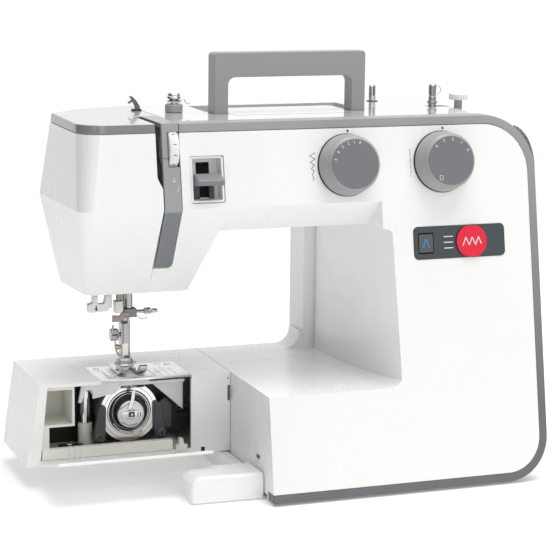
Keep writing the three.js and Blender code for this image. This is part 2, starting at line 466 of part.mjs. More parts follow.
// ---------------------------------------------------------------- free arm
const ARM_FLOOR = 17.5;
const ARM_LEAN = 11.5;
const OPENING = { left: ARM_LEFT + 6, right: BASE_LEFT - 34, low: 22 };
const armOutline = (t, open = 0) => [
  [ARM_LEFT + t, BASE_TOP - t], [ARM_LEFT - ARM_LEAN + t, ARM_FLOOR + t], [BASE_LEFT - GAP + open, ARM_FLOOR + t],
  [BASE_LEFT - GAP + open, BASE_TOP - t]];
const PLATE = { left: BASE_LEFT - 110, right: BASE_LEFT - 34, back: ARM_FRONT + 51, thick: 1.6 };
const armShell = frontPlate(armOutline(0), ARM_FRONT, BACK)
  .intersect(flatPlate([[ARM_LEFT - 20, ARM_FRONT - 1], [BASE_LEFT, ARM_FRONT - 1], [BASE_LEFT, BACK],
    [ARM_LEFT - ARM_LEAN, BACK, 16]], 0, FAR))
  .subtract(frontPlate(armOutline(WALL, 10), ARM_FRONT + WALL, BACK - WALL))
  .subtract(frontPlate([[OPENING.left - 6, OPENING.low], [OPENING.right, OPENING.low],
    [OPENING.right, BASE_TOP - WALL], [OPENING.left, BASE_TOP - WALL]], ARM_FRONT - 5, ARM_FRONT + WALL + 1))
  .subtract(block(PLATE.left - GAP, PLATE.right + GAP, ARM_FRONT - 5, PLATE.back + GAP, BASE_TOP - WALL - 1, FAR))
  .subtract(block(BASE_LEFT - 2.7, BASE_LEFT, ARM_FRONT - 5, ARM_FRONT + WALL + 1, 60, 73));
add('arm_cover', armShell, 'white');

const TRAY_LEFT = ARM_LEFT + 1;
add('arm_tray', join(
  frontPlate([[TRAY_LEFT - 7, 20.8], [OPENING.right - 4, 20.8], [OPENING.right - 4, 23.2], [TRAY_LEFT - 7, 23.2]],
    ARM_FRONT + 4, BACK - 6),
  block(OPENING.left - 4.7, OPENING.right - 16, ARM_FRONT - 0.5, ARM_FRONT + 5, 22.4, 31),
  frontPlate([[TRAY_LEFT - 2, 48], [TRAY_LEFT + 28, 48], [TRAY_LEFT + 28, BASE_TOP - WALL - 1],
    [TRAY_LEFT + 3, BASE_TOP - WALL - 1]], ARM_FRONT + 3.5, ARM_FRONT + 40)
    .subtract(frontPlate([[TRAY_LEFT + 0.3, 50], [TRAY_LEFT + 26, 50], [TRAY_LEFT + 26, BASE_TOP - WALL - 3],
      [TRAY_LEFT + 5, BASE_TOP - WALL - 3]], ARM_FRONT, ARM_FRONT + 38)),
  frontPlate([[TRAY_LEFT - 5, 22], [TRAY_LEFT + 7, 22], [TRAY_LEFT + 7, 50], [TRAY_LEFT - 2, 50]],
    ARM_FRONT + 3.5, ARM_FRONT + 14)), 'cream');

const FLAP = {
  left: ARM_LEFT - 1, right: OPENING.right - 1, hingeY: ARM_FRONT - 3.4, hingeZ: 19.4, length: 60, thick: 2.4,
};
const flapTilt = THREE.MathUtils.degToRad(15.5);
const flapAlong = [-Math.cos(flapTilt), Math.sin(flapTilt)];
const flapNormal = [Math.sin(flapTilt), Math.cos(flapTilt)];
const flapPoint = (along, up) => [
  FLAP.hingeY + flapAlong[0] * along + flapNormal[0] * up, FLAP.hingeZ + flapAlong[1] * along + flapNormal[1] * up];
add('hook_cover', sidePlate([
  flapPoint(-1.2, -1.2), flapPoint(FLAP.length, -1.2), flapPoint(FLAP.length, FLAP.thick - 1.2),
  flapPoint(-1.2, FLAP.thick - 1.2)], FLAP.left, FLAP.right), 'white');

// ---------------------------------------------------------------- needle plate, feed dog, casting
const FEED = { halfWidth: 4.5, tooth: 1.6, space: 2.4, y0: NEEDLE_Y - 8, y1: NEEDLE_Y + 12 };
const feedBars = [-1.5, -0.5, 0.5].map(k => NEEDLE_X + k * FEED.halfWidth * 1.2 + 1);
add('needle_plate', block(PLATE.left, PLATE.right, ARM_FRONT, PLATE.back, BASE_TOP - PLATE.thick, BASE_TOP)
  .subtract(join(block(NEEDLE_X - 5, NEEDLE_X + 2, NEEDLE_Y - 1.8, NEEDLE_Y + 1.8, BASE_TOP - 9, BASE_TOP + 9),
    ...feedBars.map(x => block(x - 1.3, x + 1.3, FEED.y0 + (x > NEEDLE_X + 3 ? 0 : 10.6), FEED.y1 + 4,
      BASE_TOP - 9, BASE_TOP + 9)))), 'steel');
const feedTooth = x => sidePlate([
  [FEED.y0 + (x > NEEDLE_X + 3 ? 2 : 12.6), BASE_TOP - 7], [FEED.y1 + 2, BASE_TOP - 7],
  [FEED.y1 + 2, BASE_TOP + 0.3], [FEED.y0 + (x > NEEDLE_X + 3 ? 2 : 12.6), BASE_TOP + 0.3]], x - 0.8, x + 0.8);
add('feed_dog', join(...feedBars.map(feedTooth),
  block(feedBars[0] - 2, feedBars[2] + 2, FEED.y1 - 4, FEED.y1 + 14, BASE_TOP - 8, BASE_TOP - 5)), 'steel');

const HOOK = { x: NEEDLE_X - 4.5, y: ARM_FRONT + 14, z: BASE_TOP - 30, race: 24.6 };
const feedWindow = block(NEEDLE_X - 11.5, NEEDLE_X + 8, -FAR, FAR, BASE_TOP - 10, FAR);
const LOWER_SHAFT = { y: HOOK.y + 54, z: HOOK.z - 14, radius: 4 };
const CASTING = { y0: HOOK.y + 6, top: BASE_TOP - 11 };
add('arm_casting', frontPlate([
  [PLATE.left + 4, BASE_TOP - 3.5], [PLATE.left + 4, 30], [HOOK.x - HOOK.race - 2, 26],
  [HOOK.x + HOOK.race + 2, 26], [PLATE.right - 2, 30], [PLATE.right - 2, BASE_TOP - 3.5]],
CASTING.y0 + 14, CASTING.y0 + 20)
  .add(block(PLATE.left + 4, PLATE.right - 2, CASTING.y0 - 10, CASTING.y0 + 16, BASE_TOP - 5.5, BASE_TOP - 2.4)
    .subtract(block(NEEDLE_X - 12, NEEDLE_X + 12, CASTING.y0 - 11, CASTING.y0 + 17, 0, FAR)))
  .add(frontPlate([[PLATE.right - 36, BASE_TOP - 4], [PLATE.right - 2, BASE_TOP - 30],
    [PLATE.right - 2, BASE_TOP - 4]], CASTING.y0 + 4, CASTING.y0 + 16))
  .add(block(PLATE.left + 4, BASE_LEFT + 60, CASTING.y0 + 14, CASTING.y0 + 20, 30, 44))
  .add(block(BASE_LEFT + 30, BASE_LEFT + 60, CASTING.y0 + 14, BACK - 12, BASE_PLATE_TOP + GAP, 44))
  .subtract(join(rod([HOOK.x, CASTING.y0, HOOK.z], 'y', 6, 30),
    rod([HOOK.x, HOOK.y - 10, HOOK.z], 'y', HOOK.race + 0.6, CASTING.y0 + 24 - HOOK.y, 36),
    rod([HOOK.x, LOWER_SHAFT.y, LOWER_SHAFT.z], 'x', LOWER_SHAFT.radius + GAP, FAR), feedWindow)), 'casting');

// ---------------------------------------------------------------- hook assembly
const needleWindow = block(NEEDLE_X - 6, NEEDLE_X + 3, NEEDLE_Y - 4, NEEDLE_Y + 4, HOOK.z + 10, FAR)
  .add(feedWindow);
const raceDepth = CASTING.y0 + 14 - GAP - HOOK.y;
add('race_body', tube([HOOK.x, HOOK.y, HOOK.z], 'y', HOOK.race, 20.6, raceDepth, 36)
  .subtract(needleWindow), 'casting');
add('race_ring', tube([HOOK.x, HOOK.y - 2.6, HOOK.z], 'y', HOOK.race, 18.4, 2.3, 40)
  .subtract(needleWindow), 'steel');
add('shuttle_hook', rod([HOOK.x, HOOK.y + 11.6, HOOK.z], 'y', 19.6, 6.8, 32)
  .add(rod([HOOK.x, HOOK.y + 15, HOOK.z], 'y', 4.5, 32))
  .add(tube([HOOK.x, NEEDLE_Y + 1.8, HOOK.z], 'y', 19.6, 16.2, 4, 32)
    .subtract(frontPlate([[HOOK.x, HOOK.z], [HOOK.x - 34, HOOK.z + 8], [HOOK.x - 30, HOOK.z + 40],
      [HOOK.x + 30, HOOK.z + 40], [HOOK.x + 34, HOOK.z + 10]], HOOK.y, NEEDLE_Y + 10))), 'steel');
const CASE = { radius: 11.4, y0: HOOK.y - 9, depth: 19 };
add('bobbin_case', turned([
  [CASE.radius - 0.8, CASE.depth], [CASE.radius, CASE.depth], [CASE.radius, 0], [0, 0], [0, 1.2],
  [CASE.radius - 0.8, 1.2]], [HOOK.x, CASE.y0, HOOK.z], 'y', 32)
  .add(block(HOOK.x - 4, HOOK.x + 8, CASE.y0 - 1.6, CASE.y0 + 0.5, HOOK.z - 2.5, HOOK.z + 2.5)), 'steel');
add('bobbin', turned([
  [3, 0], [10, 0], [10, 1], [4.2, 1], [4.2, 10], [10, 10], [10, 11], [3, 11]],
[HOOK.x, CASE.y0 + 2.6, HOOK.z], 'y', 28), 'black');

function raceLatch(name, side) {
  const x = HOOK.x + side * (HOOK.race + 1.8);
  const toRing = side * -7;
  add(name, join(rod([x, HOOK.y - 4, HOOK.z - 22], 'y', 3.6, 12),
    frontPlate([[x - 2.2, HOOK.z - 24], [x + 2.2, HOOK.z - 24], [x + 2.2, HOOK.z + 8], [x - 2.2, HOOK.z + 8]],
      HOOK.y - 5.6, HOOK.y - 3.2),
    frontPlate([[x - 2.2 + Math.min(toRing, 0), HOOK.z + 4], [x + 2.2 + Math.max(toRing, 0), HOOK.z + 4],
      [x + 2.2 + Math.max(toRing, 0), HOOK.z + 10], [x - 2.2 + Math.min(toRing, 0), HOOK.z + 10]],
    HOOK.y - 5.6, HOOK.y - 3.2)), 'black');
}
raceLatch('left_race_latch', -1);
raceLatch('right_race_latch', 1);
add('lower_shaft',
  rod([HOOK.x - 10, LOWER_SHAFT.y, LOWER_SHAFT.z], 'x', LOWER_SHAFT.radius, BASE_LEFT + 120 - HOOK.x)
  .add(rod([HOOK.x + 4, LOWER_SHAFT.y, LOWER_SHAFT.z], 'x', 8, 6)), 'steel');

// ---------------------------------------------------------------- needle and presser bars
const BAR = { radius: 3.2, clampZ: HEAD_BOTTOM - 24 };
const NEEDLE_BAR_X = NEEDLE_X - 1.5;
const NEEDLE_TIP = BASE_TOP + 14;
add('needle_bar', rod([NEEDLE_BAR_X, NEEDLE_Y, BAR.clampZ + 7.3], 'z', BAR.radius, 104), 'steel');
add('needle_clamp', block(NEEDLE_BAR_X - 5, NEEDLE_BAR_X + 5.5, NEEDLE_Y - 5, NEEDLE_Y + 4.6,
  BAR.clampZ, BAR.clampZ + 7)
  .subtract(rod([NEEDLE_BAR_X, NEEDLE_Y, BAR.clampZ - 1], 'z', 1.2, 5.5, 12)), 'black');
add('clamp_screw', rod([NEEDLE_BAR_X + 5.8, NEEDLE_Y, BAR.clampZ + 3.6], 'x', 1.7, 8.4, 12)
  .add(rod([NEEDLE_BAR_X + 13.5, NEEDLE_Y, BAR.clampZ + 3.6], 'x', 3, 11.5, 16)), 'steel');
add('needle', turned([[0, 0], [0.5, 3], [0.5, 22], [0.85, 24], [0.85, BAR.clampZ + 4 - NEEDLE_TIP],
  [0, BAR.clampZ + 4 - NEEDLE_TIP]], [NEEDLE_BAR_X, NEEDLE_Y, NEEDLE_TIP], 'z', 10), 'steel');

const PRESSER_Y = NEEDLE_Y + 12.5;
const FOOT_Z = BASE_TOP + 0.7;
add('presser_bar', rod([NEEDLE_BAR_X, PRESSER_Y, FOOT_Z + 26], 'z', BAR.radius, 140), 'steel');
add('presser_ankle', block(NEEDLE_BAR_X - 4, NEEDLE_BAR_X + 4, PRESSER_Y - 4, PRESSER_Y + 4,
  FOOT_Z + 8.6, FOOT_Z + 25.7)
  .add(turned([[0, -12], [4.4, -12], [4.4, -5], [1.6, -5], [1.6, 1], [0, 1]],
    [NEEDLE_BAR_X - 4, PRESSER_Y, FOOT_Z + 20], 'x', 16)), 'steel');
const footBack = PRESSER_Y + 9;
const footFront = NEEDLE_Y - 9;
add('presser_foot', sidePlate([
  [footFront - 5, FOOT_Z + 4.6], [footFront, FOOT_Z], [footBack, FOOT_Z], [footBack, FOOT_Z + 2],
  [footFront + 1, FOOT_Z + 2], [footFront - 5, FOOT_Z + 6.6]], NEEDLE_BAR_X - 9.5, NEEDLE_BAR_X + 9.5)
  .subtract(block(NEEDLE_BAR_X - 3.6, NEEDLE_BAR_X + 3.6, footFront - 9, NEEDLE_Y + 3, 0, FAR))
  .add(block(NEEDLE_BAR_X - 5, NEEDLE_BAR_X + 5, PRESSER_Y - 4, PRESSER_Y + 5, FOOT_Z + 1, FOOT_Z + 8.3)), 'steel');
add('presser_lifter', frontPlate([
  [LIFTER.x - 5, LIFTER.z + 5, 4], [LIFTER.x - 5, LIFTER.z - 5, 4],
  [LIFTER.x + LIFTER.dropX - 3, LIFTER.z - LIFTER.dropZ - 2.5], [LIFTER.x + LIFTER.dropX + 3,
    LIFTER.z - LIFTER.dropZ + 2.5], [LIFTER.x + 5, LIFTER.z + 5, 4]], LIFTER.y, LIFTER.y + LIFTER.thick), 'black');

const THREADER = { x: NEEDLE_X - 13, y: NEEDLE_Y + 2 };
add('needle_threader', join(rod([THREADER.x, THREADER.y, HEAD_BOTTOM - 19], 'z', 2, 62, 14),
  rod([THREADER.x, THREADER.y, HEAD_BOTTOM - 12], 'z', 4, 9, 16),
  block(THREADER.x - 6, THREADER.x + 5.5, THREADER.y - 4, THREADER.y + 3, HEAD_BOTTOM - 20, HEAD_BOTTOM - 15),
  block(THREADER.x - 26, THREADER.x, THREADER.y - 5, THREADER.y + 1.5, HEAD_BOTTOM - 11, HEAD_BOTTOM - 4)), 'white');

// ---------------------------------------------------------------- take-up lever, upper frame, shafts
const TAKE_UP = { x: STRIP_LEFT - SLOT_WIDTH / 2, y: 10, z: RIDGE - 16, reach: 66 };
const takeUpAngle = THREE.MathUtils.degToRad(119.5);
const takeUpPoint = (r, side) => [
  TAKE_UP.y + Math.cos(takeUpAngle) * r - Math.sin(takeUpAngle) * side,
  TAKE_UP.z + Math.sin(takeUpAngle) * r + Math.cos(takeUpAngle) * side];
add('take_up_lever', sidePlate([
  takeUpPoint(-6, -5), takeUpPoint(-6, 5), takeUpPoint(TAKE_UP.reach - 6, 3), takeUpPoint(TAKE_UP.reach, 3),
  takeUpPoint(TAKE_UP.reach, -3), takeUpPoint(TAKE_UP.reach - 6, -3)], TAKE_UP.x - 0.9, TAKE_UP.x + 0.9)
  .subtract(rod([TAKE_UP.x - 5, ...takeUpPoint(TAKE_UP.reach - 4, 0)], 'x', 1.4, 10, 12)), 'steel');

const FRAME = { y0: 50, y1: 56 };
const barBoss = (x, y, z) => block(x - 7, x + 7, y - 6, FRAME.y0 + 1, z, z + 10)
  .subtract(rod([x, y, z - 5], 'z', BAR.radius + GAP, 20));
add('upper_frame', join(
  block(NEEDLE_X - 20, PILLAR_LEFT + 40, FRAME.y0, FRAME.y1, UNDER_ARM + 8, TOP - 30),
  block(PILLAR_LEFT + 24, PILLAR_LEFT + 40, FRAME.y0, FRAME.y1, BASE_PLATE_TOP + GAP, TOP - 30),
  block(NEEDLE_X - 20, NEEDLE_X + 12, FRAME.y0, FRAME.y1, HEAD_BOTTOM + 22, TOP - 30),
  barBoss(NEEDLE_BAR_X, NEEDLE_Y, HEAD_BOTTOM + 34).add(barBoss(NEEDLE_BAR_X, PRESSER_Y, HEAD_BOTTOM + 34))
    .subtract(rod([NEEDLE_BAR_X, PRESSER_Y, HEAD_BOTTOM], 'z', BAR.radius + GAP, 60))
    .subtract(rod([NEEDLE_BAR_X, NEEDLE_Y, HEAD_BOTTOM], 'z', BAR.radius + GAP, 60))), 'casting');

const SHAFT_LEFT = NEEDLE_X + 30;
add('main_shaft', rod([SHAFT_LEFT, HANDWHEEL.y, HANDWHEEL.z], 'x', SHAFT_RADIUS, RIGHT - SHAFT_LEFT, 20)
  .add(rod([SHAFT_LEFT - 8, HANDWHEEL.y, HANDWHEEL.z], 'x', 13, 8.1, 28))
  .add(rod([RIGHT - 24, HANDWHEEL.y, HANDWHEEL.z], 'x', 26, 9, 36)), 'steel');
add('handwheel', turned([
  [0, 0.6], [HANDWHEEL.radius, 0.6], [HANDWHEEL.radius, 4], [HANDWHEEL.radius - 3, 7], [0, 7]],
[RIGHT, HANDWHEEL.y, HANDWHEEL.z], 'x', 44), 'dark');
const MOTOR = { x: PILLAR_LEFT + 20, y: 4, z: 58, radius: 26, length: 76 };
add('motor', rod([MOTOR.x, MOTOR.y, MOTOR.z], 'x', MOTOR.radius, MOTOR.length, 32)
  .add(block(MOTOR.x + 10, MOTOR.x + 60, MOTOR.y - 18, MOTOR.y + 18, BASE_PLATE_TOP + GAP, MOTOR.z)), 'dark');
add('motor_pulley', rod([MOTOR.x + MOTOR.length + GAP, MOTOR.y, MOTOR.z], 'x', 3, 8, 16)
  .add(rod([RIGHT - 24, MOTOR.y, MOTOR.z], 'x', 7, 9, 24)), 'steel');
function beltLoop(grow) {
  const up = { y: HANDWHEEL.y, z: HANDWHEEL.z, r: 26 + grow };
  const down = { y: MOTOR.y, z: MOTOR.z, r: 7 + grow };
  const ring = (c, from) => Array.from({ length: 13 }, (_, k) => {
    const angle = from + Math.PI * k / 12;
    return [RIGHT, c.y + c.r * Math.cos(angle), c.z + c.r * Math.sin(angle)];
  });
  const x0 = RIGHT - 23;
  return hull([...ring(up, 0), ...ring(down, Math.PI)].flatMap(([, y, z]) => [[x0, y, z], [x0 + 7, y, z]]));
}
add('drive_belt', beltLoop(2.2).subtract(beltLoop(2 * GAP).translate([-5, 0, 0])).subtract(beltLoop(2 * GAP).translate([5, 0, 0]))
  .subtract(beltLoop(2 * GAP)), 'rubber');

// ---------------------------------------------------------------- pattern drum and selector, power, lamp
const DRUM = { y: frontAt((PANEL.low + PANEL.high) / 2) + 19, z: (PANEL.low + PANEL.high) / 2, radius: 14.5 };
add('pattern_drum', rod([WINDOW.left + 0.5, DRUM.y, DRUM.z], 'x', DRUM.radius, 12, 28), 'black');
add('pattern_dial', rod([RIGHT + 0.6, PATTERN_DIAL.y, PATTERN_DIAL.z], 'x', PATTERN_DIAL.radius, 6.4, 32)
  .add(rod([RIGHT - 14, PATTERN_DIAL.y, PATTERN_DIAL.z], 'x', 4, 15, 16)), 'dark');
add('power_switch', sidePlate([
  [POWER.y - POWER.width / 2 + 2, POWER.z - POWER.height / 2 + 2],
  [POWER.y + POWER.width / 2 - 2, POWER.z - POWER.height / 2 + 2],
  [POWER.y + POWER.width / 2 - 2, POWER.z + POWER.height / 2 - 2],
  [POWER.y - POWER.width / 2 + 2, POWER.z + POWER.height / 2 - 2]], RIGHT - 8, RIGHT + 1.6), 'black');
add('power_inlet', sidePlate([
  [INLET.y - INLET.width / 2, INLET.z - INLET.height / 2, 2], [INLET.y + INLET.width / 2, INLET.z - INLET.height / 2, 2],
  [INLET.y + INLET.width / 2, INLET.z + INLET.height / 2, 2], [INLET.y - INLET.width / 2, INLET.z + INLET.height / 2, 2]],
RIGHT - 14, RIGHT - 0.5).subtract(block(RIGHT - 11.5, RIGHT + 5, INLET.y - 9, INLET.y + 9, INLET.z - 5, INLET.z + 5)), 'black');
add('sewing_lamp', turned([[0, 0], [3, 1], [5, 5], [5, 20], [0, 20]],
  [NEEDLE_X - 29, NEEDLE_Y + 14, HEAD_BOTTOM + 8], 'z', 20), 'white');

export default machine;
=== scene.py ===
# Looks of a free-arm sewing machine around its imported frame. Metres, +Z up, the front faces -Y.
import math

import bmesh
import bpy
from mathutils import Matrix, Vector


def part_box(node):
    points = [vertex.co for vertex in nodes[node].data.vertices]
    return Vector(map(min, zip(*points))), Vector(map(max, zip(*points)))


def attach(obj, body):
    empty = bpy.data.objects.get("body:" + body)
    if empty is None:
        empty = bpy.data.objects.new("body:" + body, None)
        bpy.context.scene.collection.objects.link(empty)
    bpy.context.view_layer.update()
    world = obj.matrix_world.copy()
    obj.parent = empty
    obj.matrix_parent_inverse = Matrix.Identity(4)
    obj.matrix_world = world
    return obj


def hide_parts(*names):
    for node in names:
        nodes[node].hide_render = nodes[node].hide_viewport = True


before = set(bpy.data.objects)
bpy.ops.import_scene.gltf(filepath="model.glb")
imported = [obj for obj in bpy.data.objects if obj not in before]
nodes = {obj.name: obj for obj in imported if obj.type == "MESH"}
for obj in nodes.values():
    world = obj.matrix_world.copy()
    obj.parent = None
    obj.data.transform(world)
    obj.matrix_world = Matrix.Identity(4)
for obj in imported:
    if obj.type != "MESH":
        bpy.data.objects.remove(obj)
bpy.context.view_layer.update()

MM = 0.001
LEAN = math.tan(math.radians(10))          # the front face leans back by this much


def mm(points):
    """Points given in millimetres, in metres."""
    return [tuple(value * MM for value in point) for point in points]


# ---------------------------------------------------------------- places taken from the frame
class Box:
    """A CAD node's box, by its sides."""

    def __init__(self, node):
        low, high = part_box(node)
        self.left, self.front, self.low = low
        self.right, self.back, self.high = high
        self.centre = (low + high) / 2
        self.size = high - low


class Plane:
    """A place on a surface: u and v run along it, n comes out of it."""

    def __init__(self, origin, u, v):
        self.origin = Vector(origin)
        self.u = Vector(u).normalized()
        self.v = Vector(v).normalized()
        self.n = self.u.cross(self.v).normalized()

    def at(self, u, v, n=0.0):
        return self.origin + self.u * u + self.v * v + self.n * n

    def moved(self, u, v, n=0.0):
        return Plane(self.at(u, v, n), self.u, self.v)


band = Box("trim_band")
cap = Box("head_cap")
strip = Box("thread_strip")
panel = Box("display_panel")
recess = Box("lever_recess")
lever = Box("reverse_lever")
handle = Box("carry_handle")
plate = Box("needle_plate")
arm = Box("arm_cover")
base_left = arm.right
ring = Box("race_ring")
TOP = cap.high


def front_y(z):
    """Where the leaning front face is, at a height."""
    return band.front + LEAN * (z - band.low)


def on_front(x, z):
    """A plane on the leaning front face, u to the right and v up it."""
    return Plane((x, front_y(z), z), (1, 0, 0), (0, LEAN, 1))


def facing_front(x, y, z):
    return Plane((x, y, z), (1, 0, 0), (0, 0, 1))


def facing_up(x, y, z):
    return Plane((x, y, z), (1, 0, 0), (0, 1, 0))


def facing_left(x, y, z):
    return Plane((x, y, z), (0, -1, 0), (0, 0, 1))


def facing_right(x, y, z):
    return Plane((x, y, z), (0, 1, 0), (0, 0, 1))


# ---------------------------------------------------------------- shader expressions
class Value:
    """A socket that holds a number, so that sums of them add Math nodes."""

    def __init__(self, tree, socket):
        self.tree = tree
        self.socket = socket

    def _math(self, operation, first, second):
        node = self.tree.nodes.new("ShaderNodeMath")
        node.operation = operation
        for slot, value in zip(node.inputs, (first, second)):
            if isinstance(value, Value):
                self.tree.links.new(value.socket, slot)
            else:
                slot.default_value = value
        return Value(self.tree, node.outputs[0])

    def __add__(self, other):
        return self._math("ADD", self, other)

    __radd__ = __add__

    def __mul__(self, other):
        return self._math("MULTIPLY", self, other)

    __rmul__ = __mul__

    def __sub__(self, other):
        return self._math("SUBTRACT", self, other)

    def __rsub__(self, other):
        return self._math("SUBTRACT", other, self)


class Finish:
    """A material being made: its tree, its shader, and the nodes that feed it."""

    def __init__(self, name, color, roughness, metallic=0.0, coat=0.0):
        self.material = bpy.data.materials.new(name)
        self.material.use_nodes = True
        self.tree = self.material.node_tree
        self.shader = self.tree.nodes["Principled BSDF"]
        self.set("Base Color", (*color, 1))
        self.set("Roughness", roughness)
        self.set("Metallic", metallic)
        self.set("Coat Weight", coat)
        self.color = color
        self.roughness = roughness

    def set(self, socket, value):
        if isinstance(value, Value):
            value = value.socket
        if isinstance(value, bpy.types.NodeSocket):
            self.tree.links.new(value, self.shader.inputs[socket])
        else:
            self.shader.inputs[socket].default_value = value

    def node(self, kind, settings=None, inputs=None, output=0):
        made = self.tree.nodes.new("ShaderNode" + kind)
        for name, value in (settings or {}).items():
            setattr(made, name, value)
        for name, value in (inputs or {}).items():
            if isinstance(value, Value):
                value = value.socket
            if isinstance(value, bpy.types.NodeSocket):
                self.tree.links.new(value, made.inputs[name])
            else:
                made.inputs[name].default_value = value
        return made.outputs[output]

    def place(self, stretch=(1, 1, 1)):
        """The piece's own coordinates in metres, stretched to make streaks."""
        coords = self.node("TexCoord", output=3)
        return self.node("Mapping", inputs={"Vector": coords, "Scale": stretch})

    def noise(self, size, detail=2.0, stretch=(1, 1, 1)):
        """A cloudy value from 0 to 1, with features about size metres across."""
        socket = self.node("TexNoise", inputs={
            "Vector": self.place(stretch), "Scale": 1 / size, "Detail": detail})
        return Value(self.tree, socket)

    def tint(self, mask, other):
        """The base colour, moved toward another colour where the mask is 1."""
        mixed = self.node("Mix", {"data_type": "RGBA"}, {
            "Factor": mask, 6: (*self.color, 1), 7: (*other, 1)}, output=2)
        self.set("Base Color", mixed)

    def vary_roughness(self, mask, spread):
        self.set("Roughness", mask * spread + (self.roughness - spread / 2))

    def bump(self, height, depth, strength=1.0):
        self.set("Normal", self.node("Bump", inputs={
            "Height": height, "Distance": depth, "Strength": strength}))


def darker(color, share):
    return tuple(c * share for c in color)


def moulded(name, color, roughness, grain=0.5 * MM, depth=0.02 * MM, coat=0.0, mottle=0.96):
    """Moulded plastic: a fine tool grain, a faint waviness, and a little variation in tone."""
    made = Finish(name, color, roughness, coat=coat)
    fine = made.noise(grain, 1.0)
    broad = made.noise(60 * MM, 2.0)
    made.tint(broad, darker(color, mottle))
    made.vary_roughness(broad * 0.6 + fine * 0.4, 0.08)
    made.bump(fine + made.noise(18 * MM) * 1.5, depth)
    return made.material


def shaded_by_height(name, shaded_color, lit_color, low, high, roughness, coat=0.0):
    """Moulded plastic painted darker below and lighter above, changing between two heights: painted shade
    and light, as if lit from above.
    """
    made = Finish(name, shaded_color, roughness, coat=coat)
    height = Value(made.tree, made.node("SeparateXYZ", inputs={"Vector": made.place()}, output=2))
    # The painted light's mask: 0 at the low height, 1 at the high one.
    made.tint((height - low) * (1 / (high - low)), lit_color)
    fine = made.noise(0.4 * MM, 1.0)
    made.vary_roughness(fine, 0.06)
    made.bump(fine + made.noise(18 * MM), 0.012 * MM)
    return made.material


def metal(name, color, roughness, streak=(1, 1, 1), grain=0.6 * MM, depth=0.01 * MM, spread=0.14):
    """Bare metal: streaks left by its finishing, and a slightly uneven polish."""
    made = Finish(name, color, roughness, metallic=1.0)
    lines = made.noise(grain, 3.0, streak)
    clouds = made.noise(9 * MM, 3.0)
    made.tint(clouds, darker(color, 0.82))
    made.vary_roughness(lines * 0.6 + clouds * 0.4, spread)
    made.bump(lines, depth)
    return made.material


def printed(name, color, roughness=0.4):
    """Printed ink: nearly flat, with the faint unevenness of a screen print."""
    made = Finish(name, color, roughness)
    patchy = made.noise(0.8 * MM, 2.0)
    made.tint(patchy, darker(color, 0.9))
    made.vary_roughness(patchy, 0.1)
    return made.material


def shadowed_casting():
    """The arm casting: a rear wall behind bare metal ledges, painted near-black as painted shade for the
    dark inside of the arm.
    """
    made = Finish("arm_casting_painted_shade", (0.03, 0.03, 0.032), 0.5)
    grain = made.noise(0.9 * MM, 3.0)
    clouds = made.noise(14 * MM, 3.0)
    made.tint(clouds, (0.055, 0.055, 0.058))
    made.vary_roughness(grain * 0.5 + clouds * 0.5, 0.2)
    made.bump(grain, 0.06 * MM)
    return made.material


WHITE = (0.90, 0.90, 0.89)
white_gloss = moulded("white_gloss_plastic", WHITE, 0.27, 0.9 * MM, 0.004 * MM, coat=0.25, mottle=0.985)
white_satin = moulded("white_satin_plastic", WHITE, 0.45, 0.4 * MM, 0.012 * MM, mottle=0.97)
cream = moulded("cream_inner_plastic", (0.84, 0.835, 0.77), 0.45, 0.5 * MM, 0.02 * MM)
# Painted shade: the trim band, base plate and rear plate are painted darker toward the bottom and lighter
# toward the top, as light from above falls on them.
trim_grey = shaded_by_height("trim_painted_shade_grey", (0.135, 0.14, 0.146), (0.32, 0.328, 0.328), 60 * MM, 285 * MM, 0.45)
# Painted highlight: the head cap's top face is painted lighter than its sides, for the bright reflection
# its glossy top catches.
cap_grey = shaded_by_height("cap_painted_highlight_grey", (0.23, 0.235, 0.235), (0.42, 0.425, 0.42), 295.2 * MM, 296 * MM,
    0.22, 0.5)
handle_grey = moulded("handle_grey_plastic", (0.335, 0.345, 0.342), 0.42, 0.35 * MM, 0.03 * MM)
plate_grey = moulded("top_plate_gloss", (0.60, 0.605, 0.6), 0.14, 1.2 * MM, 0.004 * MM, coat=0.7)
dial_side = moulded("dial_side_plastic", (0.335, 0.345, 0.342), 0.4, 0.35 * MM, 0.02 * MM)
dial_face = moulded("dial_face_plastic", (0.168, 0.172, 0.185), 0.42, 0.35 * MM, 0.02 * MM)
# Painted light: the thread strip is painted lighter above its kink, where it faces the light, and a darker
# bluish grey below.
strip_dark = shaded_by_height("strip_painted_light_grey", (0.18, 0.19, 0.212), (0.33, 0.34, 0.338), 227.5 * MM,
    229.5 * MM, 0.36)
lever_grey = moulded("lever_grey_plastic", (0.21, 0.215, 0.227), 0.36, 0.5 * MM, 0.015 * MM)
dark_grey = moulded("wheel_dark_plastic", (0.085, 0.088, 0.092), 0.42, 0.4 * MM, 0.02 * MM)
black = moulded("black_plastic", (0.012, 0.012, 0.013), 0.42, 0.4 * MM, 0.02 * MM)
black_gloss = moulded("black_gloss_plastic", (0.006, 0.006, 0.008), 0.12, 1.5 * MM, 0.002 * MM, coat=0.8)
slate = moulded("slate_window_plastic", (0.03, 0.04, 0.048), 0.3, 1.5 * MM, 0.002 * MM, coat=0.1)
latch_grey = moulded("latch_dark_plastic", (0.045, 0.046, 0.05), 0.38, 0.4 * MM, 0.02 * MM)
rubber = moulded("foot_rubber", (0.02, 0.02, 0.021), 0.75, 0.3 * MM, 0.05 * MM)
belt_rubber = moulded("belt_rubber", (0.025, 0.025, 0.027), 0.65, 0.3 * MM, 0.05 * MM)
chrome = metal("polished_chrome", (0.66, 0.665, 0.67), 0.1, spread=0.08, depth=0.002 * MM)
steel = metal("ground_steel", (0.62, 0.62, 0.63), 0.3)
